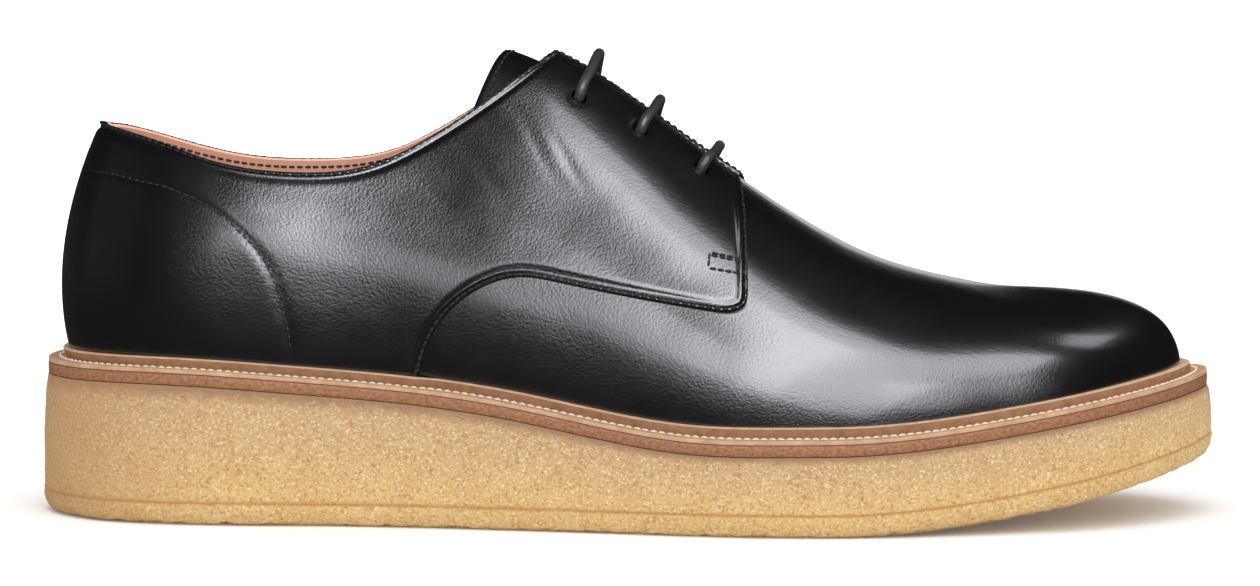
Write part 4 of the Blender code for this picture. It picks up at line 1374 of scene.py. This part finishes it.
HIDDEN_DEPTH = UPPER_WALL + LACE_CLEARANCE + LACE_DIAMETER / 2
TONGUE_DEPTH = HIDDEN_DEPTH + LACE_DIAMETER / 2 + LACE_CLEARANCE
BAR_HEIGHT = OVERLAY_CLEARANCE + QUARTER_WALL + LACE_CLEARANCE + LACE_DIAMETER / 2


def beside_ridge(x, distance, offset, side):
    turn, climb = on_skin_beside_ridge(x, distance, side)
    return skin(turn, climb, offset)


def bar_points(number, first, second):
    """The bar over the ridge from one row of eyelets to the other, its middle a little nearer the toe."""

    def half(side, shares):
        leans = [BAR_LEAN * (1 - share ** 2) for share in shares]
        return [
            beside_ridge(eyelet_x(number) + lean, share * EYELET_REACH, BAR_HEIGHT, side)
            for lean, share in zip(leans, shares)
        ]

    ridge = turn_of_ridge(along_of(eyelet_x(number) + BAR_LEAN), first)
    return half(first, BAR_SHARES) + [skin(ridge, 1.0, BAR_HEIGHT)] + half(second, BAR_SHARES[::-1])


def eyelet_points(number, side, run):
    """The lace's way up through an eyelet, where run is -1 or 1 for the end that it comes from."""
    x = eyelet_x(number)
    corner = LACE_BEND * (1 - math.sqrt(0.5))
    return [
        beside_ridge(x + 1.2 * run * LACE_BEND, EYELET_REACH, -HIDDEN_DEPTH, side),
        beside_ridge(x + run * corner, EYELET_REACH, corner - HIDDEN_DEPTH, side),
        beside_ridge(x, EYELET_REACH, LACE_BEND - HIDDEN_DEPTH, side),
        beside_ridge(x, EYELET_REACH, BAR_HEIGHT - LACE_BEND, side),
        beside_ridge(x, EYELET_REACH - corner, BAR_HEIGHT - corner, side),
    ]


def lace_route():
    """From the hidden end under the top eyelet, over the bars from the toe up, to the other top eyelet."""
    last = EYELET_COUNT - 1
    beyond = EYELET_REACH + LACE_RUN_BEYOND
    side = "inner"
    other = "outer"
    points = [beside_ridge(eyelet_x(at), beyond, -HIDDEN_DEPTH, side) for at in (0.0, 0.5, 1.0, 1.35)]
    points.append(beside_ridge(eyelet_x(1.65), (beyond + EYELET_REACH) / 2, -HIDDEN_DEPTH, side))
    run = -1
    for number in range(last, -1, -1):
        points += eyelet_points(number, side, run)
        points += bar_points(number, side, other)
        run = -1 if number else 1
        points += reversed(eyelet_points(number, other, run))
        points.append(beside_ridge(eyelet_x(number + 0.5 * run), EYELET_REACH, -HIDDEN_DEPTH, other))
        side, other = other, side
        run = 1
    return np.array([np.asarray(p).reshape(3) for p in points])


def build_laces():
    """A round braid: two sets of strands wound in opposite directions over and under each other."""
    route = lace_route()
    lengths = lengths_along(route)
    curves = [smooth_curve(lengths, route[:, k]) for k in range(3)]
    places = np.linspace(0.0, lengths[-1], int(lengths[-1] / LACE_STEP))
    middle = np.stack([curve(places) for curve in curves], axis=-1)
    ahead = unit(np.gradient(middle, axis=0))
    normal = unit(np.cross(ahead[0], (0.0, 0.0, 1.0)))
    angle = FULL_TURN * np.arange(LACE_SIDES) / LACE_SIDES
    rows = []
    for point, direction, place_at in zip(middle, ahead, places):
        normal = unit(normal - direction * np.dot(normal, direction))
        second = np.cross(direction, normal)
        phase = place_at / BRAID_PITCH * FULL_TURN
        over = np.sin(BRAID_STRANDS * (angle + phase / BRAID_STRANDS))
        under = np.sin(BRAID_STRANDS * (angle - phase / BRAID_STRANDS))
        ridge = np.maximum(np.abs(over) * (over * under > 0), np.abs(under) * (over * under <= 0))
        radius = LACE_DIAMETER / 2 * (0.93 + 0.09 * ridge)
        spoke = np.cos(angle)[:, None] * normal + np.sin(angle)[:, None] * second
        rows.append(point + radius[:, None] * spoke)
    verts, loops = stacked(rows)
    faces = tube_faces(loops)
    faces.append(tuple(reversed(loops[0])))
    faces.append(tuple(loops[-1]))
    place(make_piece("Laces", verts, faces, [cord], smooth_angle=60), "lace_cord", "laces")


TONGUE_STATIONS = 90
TONGUE_END_STEPS = (0.991, 0.996, 0.999, 1.0)
TONGUE_EDGE_STEPS = (0.0, 0.012, 0.03, 0.06)
TONGUE_INNER_STEPS = 15
HEM_INSET = 4
HEM_START = 20
HEM_TOP = -6


def build_tongue(stitches):
    """A tapering sheet under the laces, black outside and lined inside, with thread along its hem."""
    shallow = UPPER_WALL + TONGUE_CLEARANCE
    ratio = np.concatenate((np.linspace(0.0, 0.985, TONGUE_STATIONS), TONGUE_END_STEPS))
    shares = np.concatenate((TONGUE_EDGE_STEPS, np.linspace(0.1, 1.0, TONGUE_INNER_STEPS)))
    grids = ([], [])
    for r in ratio:
        along = TONGUE_FRONT + r * (TONGUE_TOP - TONGUE_FRONT)
        dip = min(r / TONGUE_DIP, 1.0)
        depth = shallow + (TONGUE_DEPTH - shallow) * dip * dip * (3 - 2 * dip)
        width = TONGUE_FRONT_WIDTH + r * (TONGUE_TOP_WIDTH - TONGUE_FRONT_WIDTH)
        lines = []
        for side in ("outer", "inner"):
            turns = turn_of_ridge(along - TONGUE_LEAN * r * (1 - shares) ** 2, side)
            edge = climb_to_ridge(turns, width / 2)
            climb = edge + (1 - edge) * shares
            thin = np.minimum(shares * width / 2 / TONGUE_EDGE, 1.0)
            end = min((1 - r) * TONGUE_LENGTH / TONGUE_EDGE, 1.0)
            rim = 0.4 + 0.6 * np.sqrt(1 - (1 - np.minimum(thin, end)) ** 2)
            base = skin_point(turns, climb)
            normal = skin_normal(turns, climb)
            middle = -depth - TONGUE_WALL / 2
            half_wall = TONGUE_WALL / 2 * rim
            lines.append([base + normal * (middle + reach)[:, None] for reach in (half_wall, -half_wall)])
        for k, grid in enumerate(grids):
            grid.append(np.concatenate((lines[0][k][:-1], lines[1][k][::-1])))
    outer = np.array(grids[0])
    inner = np.array(grids[1])
    verts = np.concatenate((outer.reshape(-1, 3), inner.reshape(-1, 3)))
    faces, flat = sheet_faces(*outer.shape[:2])
    slots = [0, 1] * (flat // 2) + [0] * (len(faces) - flat)
    tongue = make_piece("Tongue", verts, faces, [black, lining], slots, smooth_angle=50)
    place(tongue, "upper_leather", "tongue")
    tree = front_tree(verts, faces, flat)
    near_side = outer[HEM_START:HEM_TOP, HEM_INSET]
    far_side = outer[HEM_START:HEM_TOP, -1 - HEM_INSET][::-1]
    hem = np.concatenate((near_side, outer[HEM_TOP, HEM_INSET:-HEM_INSET], far_side))
    line, ups = on_tree(tree, dense(hem, LINE_STEP))
    stitches.row(line, ups, STITCH_PITCH, STITCH_LENGTH, STITCH_RADIUS, STITCH_LIFT)


def eyelet_cutter(side):
    """One mesh of round punches, one for each eyelet of a side."""
    mesh = bmesh.new()
    for number in range(EYELET_COUNT):
        turn, climb = on_skin_beside_ridge(eyelet_x(number), EYELET_REACH, side)
        axis = Vector(skin_normal(turn, climb))
        turned = axis.to_track_quat("Z", "Y").to_matrix().to_4x4()
        turned.translation = Vector(skin_point(turn, climb))
        radius = EYELET_DIAMETER / 2
        bmesh.ops.create_cone(
            mesh, cap_ends=True, segments=CUTTER_SIDES, radius1=radius, radius2=radius, depth=CUTTER_DEPTH,
            matrix=turned,
        )
    data = bpy.data.meshes.new("cutter_" + side)
    mesh.to_mesh(data)
    mesh.free()
    item = bpy.data.objects.new("cutter_" + side, data)
    bpy.context.collection.objects.link(item)
    return item


def cut_eyelets(pieces, cutters):
    """Punches the pieces, each given with its sides, and removes the punches."""
    for piece, sides in pieces:
        for side in sides:
            modifier = piece.modifiers.new("Eyelets", "BOOLEAN")
            modifier.operation = "DIFFERENCE"
            modifier.solver = "EXACT"
            modifier.object = cutters[side]
    bpy.context.view_layer.update()
    graph = bpy.context.evaluated_depsgraph_get()
    for piece, _ in pieces:
        mesh = bpy.data.meshes.new_from_object(piece.evaluated_get(graph))
        piece.modifiers.clear()
        piece.data = mesh
    for cutter in cutters.values():
        bpy.data.objects.remove(cutter, do_unlink=True)


Bar = namedtuple("Bar", "start_x start_z end_x end_z")
BAR_TACK = (
    Bar(0.0235, 0.0706, 0.0314, 0.0688),
    Bar(0.0235, 0.0700, 0.0314, 0.0682),
    Bar(0.0232, 0.0669, 0.0315, 0.0654),
    Bar(0.0232, 0.0706, 0.0230, 0.0669),
)
BAR_STITCH_PITCH = 0.0020
BAR_STITCH_LENGTH = 0.0019
BAR_STITCH_RADIUS = 0.00036
BAR_STITCH_LIFT = 0.0001
BAR_OFFSET = 0.0020
BAR_POINTS = 30


def add_bar_tack(side, tree, stitches):
    """Short bars of thread that close the quarter's front corner."""
    for bar in BAR_TACK:
        x = np.linspace(bar.start_x, bar.end_x, BAR_POINTS)
        turn, climb = on_skin_at(x, np.linspace(bar.start_z, bar.end_z, BAR_POINTS), side)
        line, ups = on_tree(tree, skin(turn, climb, BAR_OFFSET))
        stitches.row(line, ups, BAR_STITCH_PITCH, BAR_STITCH_LENGTH, BAR_STITCH_RADIUS, BAR_STITCH_LIFT)


def add_collar_stitches(stitches):
    """The collar's row of thread, seen on the lining."""
    turns = FULL_TURN * np.linspace(0.0, 1.0, COLLAR_STITCH_POINTS)
    along = along_of(rib(turns)[1][:, 0])
    turns = turns[along < COLLAR_STITCH_END]
    for side in ("outer", "inner"):
        line = turns[turns < math.pi] if side == "outer" else turns[turns >= math.pi]
        climb = top_climb(line)
        height = np.linalg.norm(skin_point(line, climb) - skin_point(line, climb - 0.1), axis=-1)
        climb = climb - 0.1 * STITCH_INSET / height
        points = skin(line, climb, -UPPER_WALL)
        ups = -skin_normal(line, climb)
        stitches.row(points, ups, STITCH_PITCH, STITCH_LENGTH, STITCH_RADIUS, STITCH_LIFT)


def build_shoe():
    build_wedge()
    build_outsole()
    build_midsole()
    build_welt()
    build_welt_stitches()
    build_insole()
    stitches = Stitches()
    upper = build_upper()
    quarters = {}
    for side in ("outer", "inner"):
        quarters[side], tree = build_quarter(side, stitches)
        add_bar_tack(side, tree, stitches)
    cutters = {side: eyelet_cutter(side) for side in quarters}
    cut_eyelets([(upper, ("outer", "inner"))] + [(quarters[side], (side,)) for side in quarters], cutters)
    place(upper, "upper_leather", "upper")
    for side, quarter in quarters.items():
        place(quarter, "upper_leather", "quarter_" + side)
    build_tongue(stitches)
    add_collar_stitches(stitches)
    stitches.build("Upper_stitches", dark_thread, "upper_leather")
    build_laces()


# Stage
SHOE_MIDDLE = (0.0, 0.0, 0.05)
COOL_WHITE = (0.94, 0.95, 1.0)
PURE_WHITE = (1.0, 1.0, 1.0)
FLOOR_SIDE = 9.0
FLOOR_BACK = 30.0
FLOOR_GLOW = 0.06
GLOW_START = 0.22
GLOW_END = 0.9
SKY_LIGHT = 0.75
SKY_GLOSS = 0.012


def direction(azimuth, elevation):
    """Direction out from the shoe. Azimuth 0 is its outer side and 90 its toe."""
    turn = math.radians(azimuth)
    rise = math.radians(elevation)
    return Vector((math.cos(rise) * math.sin(turn), -math.cos(rise) * math.cos(turn), math.sin(rise)))


def add_card(
    name, azimuth, elevation, distance, size, radiance, tilt=0.0, hidden="diffuse", target=SHOE_MIDDLE
):
    """An even area light that faces the shoe and is hidden from one kind of ray."""
    aim = direction(azimuth, elevation)
    data = bpy.data.lights.new(name, "AREA")
    data.shape = "RECTANGLE"
    data.size, data.size_y = size
    data.energy = radiance * math.pi * size[0] * size[1]
    data.color = COOL_WHITE if hidden == "diffuse" else PURE_WHITE
    light = bpy.data.objects.new(name, data)
    light.location = Vector(target) + aim * distance
    turned = aim.to_track_quat("Z", "Y") @ Quaternion((0.0, 0.0, 1.0), math.radians(tilt))
    light.rotation_euler = turned.to_euler()
    light.visible_camera = False
    setattr(light, "visible_" + hidden, False)
    bpy.context.collection.objects.link(light)


def build_floor():
    """A pale floor that brightens with distance and that glossy rays see as nearly black."""
    surface = Surface("pale_floor", 0.9, Specular_IOR_Level=0.0)
    surface.colour(surface.blend(surface.noise(3.0, 2.0), (0.86, 0.86, 0.86), (0.90, 0.90, 0.90)))
    surface.shader.inputs["Emission Color"].default_value = (*PURE_WHITE, 1.0)
    reach = surface.node("ShaderNodeVectorMath", Vector=surface.place)
    reach.operation = "LENGTH"
    glow = surface.maths("ADD", surface.steps(reach.outputs["Value"], GLOW_START, GLOW_END), FLOOR_GLOW)
    surface.plug(surface.shader.inputs["Emission Strength"], glow)
    tree = surface.tree
    path = tree.nodes.new("ShaderNodeLightPath")
    dark = tree.nodes.new("ShaderNodeBsdfDiffuse")
    dark.inputs["Color"].default_value = (0.02, 0.02, 0.02, 1.0)
    mix = tree.nodes.new("ShaderNodeMixShader")
    tree.links.new(path.outputs["Is Glossy Ray"], mix.inputs[0])
    tree.links.new(surface.shader.outputs[0], mix.inputs[1])
    tree.links.new(dark.outputs[0], mix.inputs[2])
    tree.links.new(mix.outputs[0], tree.nodes["Material Output"].inputs["Surface"])
    left, right = -FLOOR_SIDE, FLOOR_SIDE
    front, back = -FLOOR_SIDE, FLOOR_BACK
    corners = [(left, front, 0.0), (right, front, 0.0), (right, back, 0.0), (left, back, 0.0)]
    floor = make_piece("Floor", corners, [(0, 1, 2, 3)], [surface.material])


def build_sky():
    """An even white sky that glossy rays hardly see."""
    world = bpy.data.worlds.new("studio")
    bpy.context.scene.world = world
    world.use_nodes = True
    tree = world.node_tree
    background = tree.nodes["Background"]
    path = tree.nodes.new("ShaderNodeLightPath")
    shades = tree.nodes.new("ShaderNodeMix")
    shades.inputs[2].default_value = SKY_LIGHT
    shades.inputs[3].default_value = SKY_GLOSS
    tree.links.new(path.outputs["Is Glossy Ray"], shades.inputs[0])
    tree.links.new(shades.outputs[0], background.inputs["Strength"])
    background.inputs["Color"].default_value = (*PURE_WHITE, 1.0)


def build_lights():
    add_card("Softbox", 21.0, 31.0, 0.75, (0.46, 0.94), 4.6, tilt=-30.0)
    add_card("Softbox_core", 5.0, 29.0, 0.75, (0.17, 0.75), 4.2, tilt=-30.0)
    add_card("Softbox_side", 32.0, 13.0, 0.75, (0.20, 0.30), 2.8, tilt=-10.0)
    add_card("Vamp_card", -13.0, 18.0, 0.32, (0.05, 0.09), 5.0, tilt=-20.0, target=(0.02, 0.0, 0.045))
    add_card("Rear_card", -13.0, 10.0, 0.5, (0.05, 0.06), 4.0, target=(-0.06, 0.0, 0.06))
    add_card("Toe_card", 104.0, 56.0, 0.36, (0.13, 0.10), 2.6, target=(0.115, 0.0, 0.045))
    add_card("Fill", 6.0, 35.0, 2.0, (2.2, 2.3), 1.35, hidden="glossy")
    add_card("Overhead", 0.0, 88.0, 1.6, (1.6, 1.3), 1.7, hidden="glossy")
    add_card("Back_card", 176.0, 6.0, 2.2, (0.7, 0.4), 0.9)
    add_card("Heel_card", -75.0, 12.0, 2.0, (1.8, 1.0), 0.05)


CAMERA_TARGET = (0.0010, 0.0, 0.0576)
CAMERA_AZIMUTH = 3.0
CAMERA_ELEVATION = 5.5
CAMERA_DISTANCE = 1.6
SENSOR_WIDTH = 36.0
PHOTO_WIDTH_PX = 1260
FOCAL_LENGTH_PX = 6058.0


def build_camera():
    target = Vector(CAMERA_TARGET)
    data = bpy.data.cameras.new("Camera")
    data.sensor_width = SENSOR_WIDTH
    data.lens = FOCAL_LENGTH_PX / PHOTO_WIDTH_PX * SENSOR_WIDTH
    camera = bpy.data.objects.new("Camera", data)
    camera.location = target + direction(CAMERA_AZIMUTH, CAMERA_ELEVATION) * CAMERA_DISTANCE
    camera.rotation_euler = (target - camera.location).to_track_quat("-Z", "Y").to_euler()
    bpy.context.collection.objects.link(camera)
    bpy.context.scene.camera = camera


build_camera()
build_floor()
build_sky()
build_lights()
build_shoe()
bpy.context.scene.view_settings.view_transform = "Standard"
